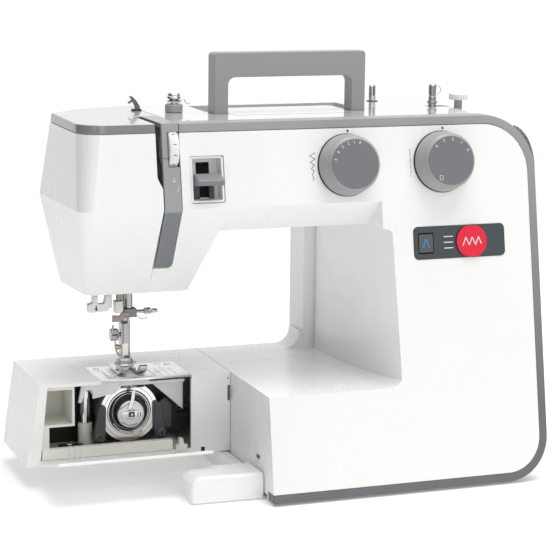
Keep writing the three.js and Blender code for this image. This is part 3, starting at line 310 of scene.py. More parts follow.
plate_steel = metal("brushed_plate_steel", (0.97, 0.97, 0.96), 0.46, streak=(0.03, 1, 1), grain=0.3 * MM)
cast = metal("cast_aluminium", (0.47, 0.475, 0.48), 0.48, grain=0.9 * MM, depth=0.06 * MM, spread=0.2)
# Painted shade: the arm casting is near-black, where the inside of the arm lies in shade.
cast_painted_shade = shadowed_casting()
race_metal = metal("turned_race_steel", (0.86, 0.80, 0.77), 0.16, grain=0.4 * MM, spread=0.1)
# Painted shade: a darker copy of the polished chrome, standing in for the dim surroundings that the needle
# and presser bars mirror.
dark_chrome = metal("dark_chrome", (0.42, 0.42, 0.43), 0.16, spread=0.1, depth=0.002 * MM)
dark_steel = metal("dark_steel", (0.2, 0.2, 0.205), 0.24)
brown_chrome = metal("brown_chrome", (0.30, 0.26, 0.23), 0.22, spread=0.1, depth=0.002 * MM)
wheel_grey = moulded("wheel_grey_plastic", (0.075, 0.076, 0.08), 0.42, 0.4 * MM, 0.02 * MM)
bay_plate_grey = moulded("painted_plate_grey", (0.74, 0.75, 0.77), 0.36, 0.6 * MM, 0.02 * MM)
ink_black = printed("black_print", (0.01, 0.01, 0.01))
copper_brown = metal("guide_dark_metal", (0.30, 0.25, 0.22), 0.26)
gold = metal("gold_screw_metal", (0.75, 0.55, 0.24), 0.25)
ink_white = printed("white_print", (0.82, 0.82, 0.82))
ink_grey = printed("grey_print", (0.06, 0.06, 0.065))
ink_red = moulded("red_print", (0.78, 0.006, 0.035), 0.45, 1.5 * MM, 0.002 * MM)
ink_blue = printed("blue_symbol", (0.02, 0.27, 0.75))


# ---------------------------------------------------------------- mesh helpers
# Printed layers, as heights over the surface they are printed on.
INK = (0.02 * MM, 0.1 * MM)
PLATE_INK = (0.01 * MM, 0.05 * MM)
STRIP_INK = (0.05 * MM, 0.14 * MM)
DIAL_INK = (18.35 * MM, 18.46 * MM)        # over the front face: on top of a dial
SHARP_ANGLE = 32              # degrees between faces that show an edge


def soften(piece, width, segments=2, angle=28):
    """Rounds the piece's sharp edges as moulding and machining do."""
    rounding = piece.modifiers.new("rounded_edges", "BEVEL")
    rounding.width = width
    rounding.segments = segments
    rounding.limit_method = "ANGLE"
    rounding.angle_limit = math.radians(angle)
    rounding.harden_normals = False
    rounding.use_clamp_overlap = True
    shading = piece.modifiers.new("even_shading", "WEIGHTED_NORMAL")
    shading.keep_sharp = False
    shading.weight = 60


def carry_over(node, finish, width=0.35 * MM, segments=2, angle=28, merge=True):
    """Gives a CAD node its finish and its small edge radii."""
    piece = nodes[node]
    piece.data.materials.clear()
    piece.data.materials.append(finish)
    weld = piece.modifiers.new("one_skin", "WELD")
    weld.merge_threshold = 0.004 * MM
    if merge:
        flatten = piece.modifiers.new("whole_faces", "DECIMATE")
        flatten.decimate_type = "DISSOLVE"
        flatten.angle_limit = math.radians(0.6)
    for polygon in piece.data.polygons:
        polygon.use_smooth = True
    if width:
        soften(piece, width, segments, angle)


def piece_from(name, build, finish, body, edge=0.0, segments=2, replaces=()):
    """Makes a mesh piece from what build(bm) draws, and puts it on a CAD body."""
    bm = bmesh.new()
    build(bm)
    bmesh.ops.remove_doubles(bm, verts=bm.verts, dist=0.002 * MM)
    bmesh.ops.recalc_face_normals(bm, faces=bm.faces)
    mesh = bpy.data.meshes.new(name)
    bm.to_mesh(mesh)
    bm.free()
    mesh.materials.append(finish)
    mesh.shade_smooth()
    mesh.set_sharp_from_angle(angle=math.radians(SHARP_ANGLE))
    piece = bpy.data.objects.new(name, mesh)
    bpy.context.scene.collection.objects.link(piece)
    if edge:
        soften(piece, edge, segments)
    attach(piece, body)
    if replaces:
        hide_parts(*replaces)
    return piece


def draw_prism(bm, plane, outline, low, high):
    """An outline of (u, v) points, made solid between two heights above the plane."""
    count = len(outline)
    bottom = [bm.verts.new(plane.at(u, v, low)) for u, v in outline]
    upper = [bm.verts.new(plane.at(u, v, high)) for u, v in outline]
    bm.faces.new(bottom[::-1])
    bm.faces.new(upper)
    for i in range(count):
        j = (i + 1) % count
        bm.faces.new((bottom[i], bottom[j], upper[j], upper[i]))


def draw_turned(bm, plane, profile, steps=48, ribs=0, rib_depth=0.0, ribbed=()):
    """Turns (radius, height) pairs about the plane's normal; some levels may be ribbed."""
    rings = []
    for level, (radius, height) in enumerate(profile):
        if radius <= 0:
            rings.append([bm.verts.new(plane.at(0, 0, height))])
            continue
        points = []
        for k in range(steps):
            angle = 2 * math.pi * k / steps
            r = radius
            if ribs and level in ribbed:
                r += rib_depth * 0.5 * (math.cos(angle * ribs) - 1)
            points.append(bm.verts.new(plane.at(r * math.cos(angle), r * math.sin(angle), height)))
        rings.append(points)
    for lower, upper in zip(rings, rings[1:]):
        for k in range(steps):
            j = (k + 1) % steps
            corners = [lower[k % len(lower)], lower[j % len(lower)],
                       upper[j % len(upper)], upper[k % len(upper)]]
            corners = list(dict.fromkeys(corners))
            if len(corners) > 2:
                bm.faces.new(corners)
    if len(rings[0]) > 1:
        bm.faces.new(rings[0][::-1])
    if len(rings[-1]) > 1:
        bm.faces.new(rings[-1])


def draw_ring(bm, plane, inner, outer, low, high, steps=72):
    """A flat ring about the plane's normal."""
    section = [(inner, low), (outer, low), (outer, high), (inner, high)]
    rings = []
    for radius, height in section:
        rings.append([bm.verts.new(plane.at(radius * math.cos(2 * math.pi * k / steps),
                                            radius * math.sin(2 * math.pi * k / steps), height))
                      for k in range(steps)])
    for lower, upper in zip(rings, rings[1:] + rings[:1]):
        for k in range(steps):
            j = (k + 1) % steps
            bm.faces.new((lower[k], lower[j], upper[j], upper[k]))


def rounded(corners, steps=6):
    """A closed outline from corners (u, v, radius); a radius rounds that corner."""
    points = []
    count = len(corners)
    for i, corner in enumerate(corners):
        here = Vector(corner[:2])
        radius = corner[2] if len(corner) > 2 else 0
        if radius <= 0:
            points.append(tuple(here))
            continue
        before = (Vector(corners[i - 1][:2]) - here).normalized()
        after = (Vector(corners[(i + 1) % count][:2]) - here).normalized()
        half = before.angle(after) / 2
        centre = here + (before + after).normalized() * radius / math.sin(half)
        start = here + before * radius / math.tan(half) - centre
        end = here + after * radius / math.tan(half) - centre
        sweep = start.angle_signed(end)
        for k in range(steps + 1):
            turned = start.copy()
            turned.rotate(Matrix.Rotation(-sweep * k / steps, 2))
            points.append(tuple(centre + turned))
    return points


def rectangle(width, height, corner=0.0):
    half_w, half_h = width / 2, height / 2
    return rounded([(-half_w, -half_h, corner), (half_w, -half_h, corner),
                    (half_w, half_h, corner), (-half_w, half_h, corner)])


def circle(radius, steps):
    return [(radius * math.cos(2 * math.pi * k / steps), radius * math.sin(2 * math.pi * k / steps))
            for k in range(steps)]


STROKE_OVERRUN = 0.3          # a stroke runs this share of half its width past its ends


def draw_stroke(bm, plane, points, width, low, high):
    """A printed line of some width through (u, v) points."""
    for (u0, v0), (u1, v1) in zip(points, points[1:]):
        along = Vector((u1 - u0, v1 - v0)).normalized() * width / 2
        side = Vector((-along.y, along.x))
        a = Vector((u0, v0)) - along * STROKE_OVERRUN
        b = Vector((u1, v1)) + along * STROKE_OVERRUN
        corners = [tuple(a - side), tuple(b - side), tuple(b + side), tuple(a + side)]
        draw_prism(bm, plane, corners, low, high)


def draw_text(bm, plane, text, height, low, high, u=0.0, v=0.0, turn=0.0):
    """Generic digits, standing on the plane at (u, v), turned by some angle."""
    curve = bpy.data.curves.new("digits", "FONT")
    curve.body = text
    curve.size = height
    curve.align_x = "CENTER"
    curve.align_y = "CENTER"
    carrier = bpy.data.objects.new("digits", curve)
    outline = bpy.data.meshes.new_from_object(carrier)
    spin = Matrix.Rotation(turn, 2)
    made = []
    for level in (low, high):
        ring_verts = []
        for vertex in outline.vertices:
            flat = spin @ Vector(vertex.co[:2])
            ring_verts.append(bm.verts.new(plane.at(u + flat.x, v + flat.y, level)))
        made.append(ring_verts)
    for polygon in outline.polygons:
        bm.faces.new([made[1][i] for i in polygon.vertices])
        bm.faces.new([made[0][i] for i in reversed(polygon.vertices)])
    counts = {}
    for polygon in outline.polygons:
        for a, b in polygon.edge_keys:
            counts[(a, b)] = counts.get((a, b), 0) + 1
    for (a, b), uses in counts.items():
        if uses == 1:
            bm.faces.new((made[0][a], made[0][b], made[1][b], made[1][a]))
    bpy.data.objects.remove(carrier)
    bpy.data.curves.remove(curve)
    bpy.data.meshes.remove(outline)


def wire(name, points, radius, finish, body):
    """A round wire bent through a few points."""
    curve = bpy.data.curves.new(name, "CURVE")
    curve.dimensions = "3D"
    curve.bevel_depth = radius
    curve.bevel_resolution = 3
    curve.use_fill_caps = True
    spline = curve.splines.new("BEZIER")
    spline.bezier_points.add(len(points) - 1)
    for knot, point in zip(spline.bezier_points, points):
        knot.co = point
        knot.handle_left_type = "AUTO"
        knot.handle_right_type = "AUTO"
    spline.resolution_u = 8
    curve.materials.append(finish)
    piece = bpy.data.objects.new(name, curve)
    bpy.context.scene.collection.objects.link(piece)
    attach(piece, body)
    return piece


# ---------------------------------------------------------------- camera, floor and light
VIEW_AZIMUTH = math.radians(-20.47)
VIEW_ELEVATION = math.radians(10.59)
VIEW_ROLL = math.radians(0.69)
VIEW_TARGET = Vector((-8.11, -14.44, 166.97)) * MM
VIEW_DISTANCE = 1.5854
VIEW_LENS = 128.35


def make_camera():
    data = bpy.data.cameras.new("view")
    data.lens = VIEW_LENS
    data.sensor_width = 36
    data.clip_start = 0.05
    data.clip_end = 20
    camera = bpy.data.objects.new("view", data)
    bpy.context.scene.collection.objects.link(camera)
    back = Vector((math.sin(VIEW_AZIMUTH) * math.cos(VIEW_ELEVATION),
                   -math.cos(VIEW_AZIMUTH) * math.cos(VIEW_ELEVATION), math.sin(VIEW_ELEVATION)))
    camera.location = VIEW_TARGET + back * VIEW_DISTANCE
    camera.rotation_mode = "QUATERNION"
    upright = (-back).to_track_quat("-Z", "Y")
    camera.rotation_quaternion = upright @ Matrix.Rotation(VIEW_ROLL, 3, "Z").to_quaternion()
    bpy.context.scene.camera = camera


def area_light(name, place, aim, size, power):
    data = bpy.data.lights.new(name, "AREA")
    data.shape = "RECTANGLE"
    data.size, data.size_y = size
    data.energy = power
    light = bpy.data.objects.new(name, data)
    light.location = place
    light.rotation_mode = "QUATERNION"
    light.rotation_quaternion = (Vector(aim) - Vector(place)).to_track_quat("-Z", "Y")
    bpy.context.scene.collection.objects.link(light)


def stage_sheet(name, corners, color, roughness, glow=0.0):
    mesh = bpy.data.meshes.new(name)
    mesh.from_pydata([Vector(c) for c in corners], [], [(0, 1, 2, 3)])
    paper = Finish(name, color, roughness)
    paper.set("Emission Color", (1, 1, 1, 1))
    paper.set("Emission Strength", glow)
    paper.vary_roughness(paper.noise(0.3), 0.05)
    mesh.materials.append(paper.material)
    sheet = bpy.data.objects.new(name, mesh)
    bpy.context.scene.collection.objects.link(sheet)
    return sheet


def dark_card(azimuth, width):
    """A black card that polished surfaces mirror, unseen by the camera and by matt surfaces."""
    out = Vector((math.sin(azimuth), -math.cos(azimuth), 0)) * CARD_DISTANCE
    side = Vector((math.cos(azimuth), math.sin(azimuth), 0)) * width / 2
    up = Vector((0, 0, CARD_HEIGHT))
    corners = [out - side, out + side, out + side + up, out - side + up]
    card = stage_sheet(f"card_{round(math.degrees(azimuth))}", corners, BLACK_CARD, CARD_ROUGHNESS)
    card.visible_camera = False
    card.visible_diffuse = False
    card.visible_shadow = False
    return card


FLOOR_GLOW = 0.2              # a lit table: only the faintest shadow is left on it
FLOOR_REACH = 1.3
FLOOR_DROP = 0.4 * MM         # the table's top lies just under the feet
CARD_DISTANCE = 1.5
CARD_HEIGHT = 1.1
CARD_ROUGHNESS = 0.8
BLACK_CARD = (0.01, 0.01, 0.01)
FILL_LIGHT = 0.5
WHITE_BACKDROP = 1.05
KEY_POWER = 9
OVERHEAD_POWER = 40


def make_studio():
    corners = [(u * FLOOR_REACH, v * FLOOR_REACH, -FLOOR_DROP)
               for u, v in ((-1, -1), (1, -1), (1, 1), (-1, 1))]
    stage_sheet("floor", corners, (0.9, 0.9, 0.9), 0.6, FLOOR_GLOW)
    world = bpy.data.worlds.new("studio")
    bpy.context.scene.world = world
    world.use_nodes = True
    tree = world.node_tree
    backdrop = tree.nodes["Background"]
    backdrop.inputs["Color"].default_value = (1, 1, 1, 1)
    backdrop.inputs["Strength"].default_value = FILL_LIGHT
    seen = tree.nodes.new("ShaderNodeBackground")
    seen.inputs["Color"].default_value = (1, 1, 1, 1)
    seen.inputs["Strength"].default_value = WHITE_BACKDROP
    # The camera and mirrors see white; matt surfaces get the weaker fill light.
    choose = tree.nodes.new("ShaderNodeMixShader")
    ray = tree.nodes.new("ShaderNodeLightPath")
    mirrored = tree.nodes.new("ShaderNodeMath")
    mirrored.operation = "MAXIMUM"
    tree.links.new(ray.outputs["Is Camera Ray"], mirrored.inputs[0])
    tree.links.new(ray.outputs["Is Glossy Ray"], mirrored.inputs[1])
    tree.links.new(mirrored.outputs[0], choose.inputs[0])
    tree.links.new(backdrop.outputs[0], choose.inputs[1])
    tree.links.new(seen.outputs[0], choose.inputs[2])
    tree.links.new(choose.outputs[0], tree.nodes["World Output"].inputs["Surface"])
    area_light("key", (0.5, -2.3, 1.25), (-0.02, 0, 0.12), (2.4, 1.6), KEY_POWER)
    area_light("overhead", (0.2, -0.2, 2.2), (0, 0, 0.2), (1.6, 1.6), OVERHEAD_POWER)
    # The widest card also keeps light off the faces that look left.
    flag = dark_card(math.radians(-93), 2.4)
    flag.visible_diffuse = True
    for degrees, width in ((-62, 0.4), (-34, 0.2), (12, 0.34), (58, 0.6)):
        dark_card(math.radians(degrees), width)
    bpy.context.scene.view_settings.view_transform = "Standard"
    bpy.context.scene.view_settings.look = "None"


make_camera()
make_studio()


# ---------------------------------------------------------------- finishes of the CAD nodes
def finish_nodes():
    """Every CAD node that shows keeps its shape and gets its finish and edge radii."""
    plans = [
        (white_gloss, 0.8, 3, ("front_cover", "rear_cover", "arm_cover", "hook_cover")),
        (trim_grey, 0.8, 3, ("trim_band", "base_plate")),
        (cap_grey, 0.8, 3, ("head_cap",)),
        (plate_grey, 0.8, 3, ("top_cover",)),
        (white_satin, 0.4, 2, ("lever_recess", "winder_stopper", "sewing_lamp")),
        (slate, 0.4, 2, ("display_panel",)),
        (cream, 0.6, 2, ("arm_tray",)),
        (rubber, 0.3, 2, ("front_left_foot", "front_right_foot", "rear_left_foot", "rear_right_foot")),
        (cast, 0.6, 2, ("race_body", "upper_frame")),
        (cast_painted_shade, 0.6, 2, ("arm_casting",)),
        (race_metal, 0.4, 2, ("race_ring", "shuttle_hook")),
        (steel, 0.25, 2, ("feed_dog", "lower_shaft", "main_shaft", "motor_pulley", "take_up_lever")),
        (dark_chrome, 0.2, 2, ("needle_bar", "presser_bar", "needle")),
        (dark_steel, 0.5, 3, ("needle_clamp",)),
        (black, 0.3, 2, ("pattern_drum", "power_switch", "power_inlet", "bobbin", "presser_lifter")),
        (dark_grey, 0.6, 3, ("motor",)),
        (belt_rubber, 0.3, 2, ("drive_belt",)),
    ]
    for finish, width, segments, names in plans:
        for name in names:
            carry_over(name, finish, width * MM, segments)
    carry_over("face_cover", white_gloss, 1.6 * MM, 3, 14)
    carry_over("needle_plate", plate_steel, 0, merge=False)
    carry_over("thread_strip", strip_dark, 0.5 * MM, 2)
    carry_over("carry_handle", handle_grey, 1 * MM, 3)
    carry_over("left_foot_block", white_gloss, 2.2 * MM, 4)


# ---------------------------------------------------------------- dials
DIAL_DROP = 36 * MM            # dial centres below the top
NUMERAL = 3.5 * MM


def make_dial(name, node, body, marks):
    """A turned knob with a fine-ribbed flank, a bevelled rim, and printed numerals."""
    box = Box(node)
    face = on_front((box.left + box.right) / 2, TOP - DIAL_DROP)
    radius = box.size.x / 2

    def knob(bm):
        draw_turned(bm, face, [
            (radius - 1.4 * MM, 0.9 * MM), (radius, 1.6 * MM), (radius - 0.1 * MM, 4 * MM),
            (radius - 2.2 * MM, 14.6 * MM), (radius - 2.9 * MM, 15.6 * MM), (radius - 4.8 * MM, 18 * MM)],
            steps=96)

    def disc(bm):
        draw_turned(bm, face, [
            (radius - 4.7 * MM, 17.4 * MM), (radius - 4.7 * MM, 18.05 * MM), (radius - 5.2 * MM, 18.4 * MM),
            (0, 18.4 * MM)], steps=96)

    def shadow_gap(bm):
        draw_ring(bm, face, radius - 3 * MM, radius + 0.5 * MM, 0.05 * MM, 0.8 * MM)

    def numerals(bm):
        ring_radius = radius - 7.6 * MM
        for text, degrees in marks:
            angle = math.radians(degrees)
            draw_text(bm, face, text, NUMERAL, *DIAL_INK, ring_radius * math.cos(angle),
                ring_radius * math.sin(angle), angle - math.pi / 2)

    piece_from(name + "_knob", knob, dial_side, body, 0.35 * MM, 2, replaces=[node])
    piece_from(name + "_face", disc, dial_face, body, 0.2 * MM)
    piece_from(name + "_numerals", numerals, ink_white, body)
    piece_from(name + "_shadow_gap", shadow_gap, black, "body")

    def pointer(bm):
        draw_turned(bm, face.moved(2 * MM, radius + 2.6 * MM), mm([(0, 0.02), (1, 0.02), (0.8, 0.3),
            (0, 0.35)]), steps=20)

    piece_from(name + "_pointer", pointer, ink_grey, "body")
    return face, radius


def make_dials():
    face, radius = make_dial("width_dial", "stitch_width_dial", "width_dial",
                             [("0", 74), ("1", 91), ("2", 108), ("3", 127), ("4", 146), ("5", 167)])

    def zigzag(bm):
        left = -radius - 4.6 * MM
        swings = [3.4, -3.0, 3.0, -2.4, 2.2, -1.6, 1.5, -1.0, 0.9, -0.4]
        points = [(left + swing * 0.75 * MM, (10.5 - 2.45 * k) * MM) for k, swing in enumerate(swings)]
        draw_stroke(bm, face, points, 0.45 * MM, 0.02 * MM, 0.08 * MM)

    piece_from("width_symbol", zigzag, ink_grey, "body")
    face, radius = make_dial("length_dial", "stitch_length_dial", "length_dial",
                             [("0", 28), ("1", 56), ("2", 83), ("3", 110), ("4", 137)])

    def dashes(bm):
        left = -radius - 3.2 * MM
        height = 11 * MM
        for length in (6, 4.4, 3.2, 2.2, 1.2):
            draw_stroke(bm, face, [(left, height), (left, height - length * MM)], 0.4 * MM, 0.02 * MM,
                0.08 * MM)
            height -= (length + 1.3) * MM

    piece_from("length_symbol", dashes, ink_grey, "body")

    def buttonhole(bm):
        place = face.moved((radius - 8 * MM) * math.cos(math.radians(-125)),
                           (radius - 8 * MM) * math.sin(math.radians(-125)))
        corners = rectangle(2.6 * MM, 3.4 * MM)
        draw_stroke(bm, place, corners + corners[:1], 0.35 * MM, *DIAL_INK)

    piece_from("buttonhole_symbol", buttonhole, ink_white, "length_dial")


# ---------------------------------------------------------------- display panel
def make_display():
    """What the dark panel shows: a window with a symbol, a red disc, a zigzag and dashes."""
    face = on_front(panel.left, (panel.low + panel.high) / 2)
    proud = 1.95 * MM
    drum = Box("pattern_drum")
    window = face.moved(drum.centre.x - 0.4 * MM - panel.left, -0.3 * MM)

    def glass(bm):
        draw_prism(bm, window, rectangle(12.4 * MM, 14.8 * MM, 0.8 * MM), 0.4 * MM, 1.4 * MM)

    def symbol(bm):
        points = [(-2.6, -3.4), (0, 3.6), (2.6, -3.4), (-2.2, -0.6), (2.2, -0.6)]
        scaled = mm(points)
        draw_stroke(bm, window, scaled[:3], 0.8 * MM, 1.4 * MM, 1.5 * MM)

    def disc(bm):
        half = (panel.high - panel.low) / 2 / math.cos(math.atan(LEAN)) - 0.5 * MM
        points = [(u, max(-half, min(half, v))) for u, v in circle(13.4 * MM, 72)]
        draw_prism(bm, face.moved(50.3 * MM, -0.2 * MM), points, proud, proud + 0.12 * MM)

    def stitches(bm):
        place = face.moved(50.3 * MM, -0.2 * MM)
        peaks = [(-8, -3.2), (-5.2, 3.4), (-2.4, -3.2), (0.4, 3.4), (3.2, -3.2), (6, 3.4), (8.4, -2.4)]
        draw_stroke(bm, place, mm(peaks), 0.8 * MM, proud + 0.1 * MM, proud + 0.2 * MM)

    def dash_row(bm):
        place = face.moved(29.5 * MM, -0.2 * MM)
        for step in range(3):
            middle = (step - 1) * 4.6 * MM
            draw_stroke(bm, place, [(-4 * MM, middle), (4 * MM, middle)], 0.8 * MM, proud, proud + 0.1 * MM)

    piece_from("display_glass", glass, black_gloss, "body", 0.2 * MM)
    piece_from("display_symbol", symbol, ink_blue, "body")
    piece_from("display_disc", disc, ink_red, "body")
    piece_from("display_zigzag", stitches, ink_white, "body")
    piece_from("display_dashes", dash_row, ink_white, "body")


# ---------------------------------------------------------------- reverse lever
def make_reverse_lever():
    """A wedge-shaped lever tab on a stem, between two dark cheeks."""
    middle = (recess.left + recess.right) / 2
    face = on_front(middle, (lever.low + lever.high) / 2)
    side = Plane(face.origin, face.n, face.v)

    def tab(bm):
        draw_prism(bm, side, mm([(-4, -4.2), (7, -4.8), (9.4, -4.2), (9.4, -0.8), (-1, 5), (-4, 5)]),
            -11 * MM, 10.4 * MM)

    def stem(bm):
        draw_prism(bm, side, mm([(-30, -3), (-3, -3), (-3, 2), (-30, 2)]), -3.2 * MM, 3.2 * MM)

    def pocket(bm):
        cheek = mm([(-11, -16.4), (-9.6, -16.4), (-9, -3.4), (-11, -3.4)])
        draw_prism(bm, side, cheek, -8 * MM, -3.8 * MM)
        draw_prism(bm, side, cheek, 3.8 * MM, 11 * MM)

    piece_from("lever_tab", tab, lever_grey, "reverse", 0.7 * MM, 3, replaces=["reverse_lever"])
    piece_from("lever_stem", stem, lever_grey, "reverse", 0.4 * MM)
    piece_from("lever_pocket", pocket, wheel_grey, "body", 0.6 * MM, 3)


# ---------------------------------------------------------------- head and top fittings
def make_tension_wheel():
    """A ribbed wheel with tick marks, on a steel shaft."""
    box = Box("tension_dial")
    width = 7.4 * MM
    wheel = facing_right(box.left, box.centre.y, box.centre.z)
    radius = box.size.z / 2

    def rim(bm):
        draw_turned(bm, wheel, [(radius - 2.2 * MM, 0), (radius - 0.9 * MM, 0.1 * MM), (radius, 1.1 * MM),
            (radius, width - 1.1 * MM), (radius - 0.9 * MM, width - 0.1 * MM),
            (radius - 2.2 * MM, width)], steps=288, ribs=72, rib_depth=0.55 * MM, ribbed=(2, 3))

    def ticks(bm):
        for k in range(12):
            angle = math.radians(30 * k + 12)
            out = Vector((0, math.cos(angle), math.sin(angle)))
            along = Vector((0, -math.sin(angle), math.cos(angle)))
            spot = Plane(wheel.at(0, 0, width * 0.5) + out * radius, (1, 0, 0), along)
            side = 1 if spot.n.dot(out) > 0 else -1
            draw_prism(bm, spot, rectangle(2.6 * MM, 0.5 * MM), side * 0.02 * MM, side * 0.1 * MM)

    def shaft(bm):
        draw_turned(bm, wheel, [(4 * MM, width), (4 * MM, width + 20 * MM)], steps=24)

    piece_from("tension_wheel", rim, white_satin, "tension", replaces=["tension_dial"])
    piece_from("tension_ticks", ticks, ink_grey, "tension")
    piece_from("tension_shaft", shaft, steel, "tension", 0.3 * MM)


def make_strip_marks():
    """A seam and two small arrows on the strip."""
    upper = on_front((strip.left + strip.right) / 2, TOP - 46 * MM)

    def seam(bm):
        draw_stroke(bm, on_front(strip.left, TOP - 26.4 * MM), mm([(0.2, 0), (5.4, 0)]), 0.4 * MM, *INK)

    def marks(bm):
        draw_stroke(bm, upper, mm([(-2.2, 3), (-0.8, 1.6), (0.6, 3)]), 0.4 * MM, *STRIP_INK)
        draw_stroke(bm, upper, mm([(-0.8, 1.6), (-0.8, 5)]), 0.4 * MM, *STRIP_INK)
        draw_stroke(bm, upper, mm([(2.6, -1), (2.6, -4.5), (1.4, -5.6)]), 0.35 * MM, *STRIP_INK)

    piece_from("strip_seam", seam, black, "body")
    piece_from("strip_marks", marks, ink_white, "body")


def make_top_fittings():
    """Thread guide, winder guide, spool pin, bobbin winder and its stopper."""
    guide = Box("thread_guide")
    hook_face = facing_front(guide.right, guide.back - 2 * MM, TOP)

    def hook(bm):
        draw_prism(bm, hook_face, mm([(-1.5, 0.6), (2.2, 0.6), (1.6, 4), (-1.4, 8.6), (-5.4, 12.4),
            (-7.2, 11.4), (-5.2, 9.2), (-8.4, 6.8), (-7.8, 5.6), (-4.2, 7.2)]), -1.2 * MM, 1.2 * MM)

    def hook_foot(bm):
        draw_prism(bm, facing_up(guide.right - 1 * MM, guide.back - 2 * MM, TOP),
            rounded(mm([(-4, -3, 1.5), (4, -3, 1.5), (4, 3, 1.5), (-4, 3, 1.5)])), 0.05 * MM, 1.4 * MM)

    piece_from("guide_hook", hook, copper_brown, "body", 0.45 * MM, 3, replaces=["thread_guide"])
    piece_from("guide_hook_foot", hook_foot, black, "body", 0.3 * MM)

    stud = Box("winder_tension_guide")
    place = facing_up(stud.centre.x, stud.centre.y, stud.low)

    def collar(bm):
        draw_turned(bm, place, mm([(7.2, 0), (7.2, 5.6), (6.4, 6.4), (0, 6.4)]), steps=48)

    def stud_metal(bm):
        draw_turned(bm, place, mm([(3, 6.3), (3, 7.6), (6.2, 7.9), (6.4, 8.6), (5, 9.4), (3.6, 9.9),
            (5, 10.4), (6, 11.2), (5.8, 12.4), (5.2, 13.2), (5.2, 14.6), (4.4, 15.5), (0, 15.8)]),
            steps=48)

    piece_from("stud_collar", collar, handle_grey, "body", 0.3 * MM, 2, replaces=["winder_tension_guide"])
    piece_from("stud_discs", stud_metal, chrome, "body")
    wire("stud_wire", [place.at(4 * MM, -2 * MM, 9.4 * MM), place.at(8 * MM, -2 * MM, 9.8 * MM),
                       place.at(9.5 * MM, -2 * MM, 7.2 * MM), place.at(13 * MM, -2 * MM, 6.2 * MM)],
         0.45 * MM, chrome, "body")

    pin = Box("spool_pin")
    spool = facing_up(pin.centre.x, pin.centre.y, pin.low)
    height = pin.size.z

    def spool_shape(bm):
        draw_turned(bm, spool, [
            (3.0 * MM, 0), (3.0 * MM, height - 13 * MM), (3.2 * MM, height - 12.4 * MM),
            (3.2 * MM, height - 1.2 * MM), (2.4 * MM, height)], steps=32)

    def spool_slit(bm):
        for angle in (0, math.pi):
            edge = facing_front(pin.centre.x, pin.centre.y, pin.high)
            side = 1 if angle else -1
            draw_prism(bm, edge, mm([(-0.45, -9), (0.45, -9), (0.45, 0.05), (-0.45, 0.05)]),
                side * 2.2 * MM, side * 3.26 * MM)

    def spool_seat(bm):
        draw_turned(bm, facing_up(pin.centre.x, pin.centre.y, TOP), mm([(3.5, 0.05), (5, 0.05), (5, 0.5),
            (3.5, 0.5)]), steps=32)

    piece_from("spool_pin_post", spool_shape, chrome, "spool_pin", 0.2 * MM, 2, replaces=["spool_pin"])
    piece_from("spool_pin_slit", spool_slit, black, "spool_pin")
    piece_from("spool_pin_seat", spool_seat, black, "body")

    shaft = Box("winder_spindle")
    winder = facing_up(shaft.centre.x, shaft.centre.y, TOP)
    rise = shaft.high - TOP

    def spindle(bm):
        draw_turned(bm, winder, [
            (11 * MM, -24 * MM), (11 * MM, -19 * MM), (3.3 * MM, -18.6 * MM), (3.3 * MM, 2.4 * MM),
            (4.4 * MM, 2.6 * MM), (4.4 * MM, 4.2 * MM), (3.3 * MM, 4.5 * MM), (3.3 * MM, 8 * MM),
            (2.9 * MM, 8.3 * MM), (2.9 * MM, 9.2 * MM), (3.3 * MM, 9.5 * MM), (3.3 * MM, rise - 1 * MM),
            (2.6 * MM, rise)], steps=32)

    piece_from("winder_post", spindle, dark_chrome, "winder", 0.15 * MM, 2, replaces=["winder_spindle"])
    wire("winder_spring", [winder.at(2.6 * MM, -2 * MM, rise - 1 * MM),
        winder.at(5 * MM, -2.4 * MM, rise - 2 * MM), winder.at(6.6 * MM, -2.4 * MM, rise - 5 * MM),
        winder.at(5 * MM, -2 * MM, rise - 7.6 * MM), winder.at(3 * MM, -1.6 * MM, rise - 9 * MM)],
        0.35 * MM, chrome, "winder")

    stopper = Box("winder_stopper")
    stop = facing_up(stopper.centre.x, stopper.centre.y, TOP)

    def stop_cap(bm):
        draw_turned(bm, stop, mm([(3.6, 4), (7.6, 4), (8.1, 4.6), (8.1, 8.4), (7.2, 9.5), (0, 9.7)]),
            steps=144, ribs=36, rib_depth=0.3 * MM, ribbed=(2, 3))

    def stop_stem(bm):
        draw_turned(bm, stop, mm([(3.5, -14), (3.5, 4.1)]), steps=32)

    piece_from("stopper_cap", stop_cap, white_satin, "body", replaces=["winder_stopper"])
    piece_from("stopper_stem", stop_stem, handle_grey, "body", 0.2 * MM)


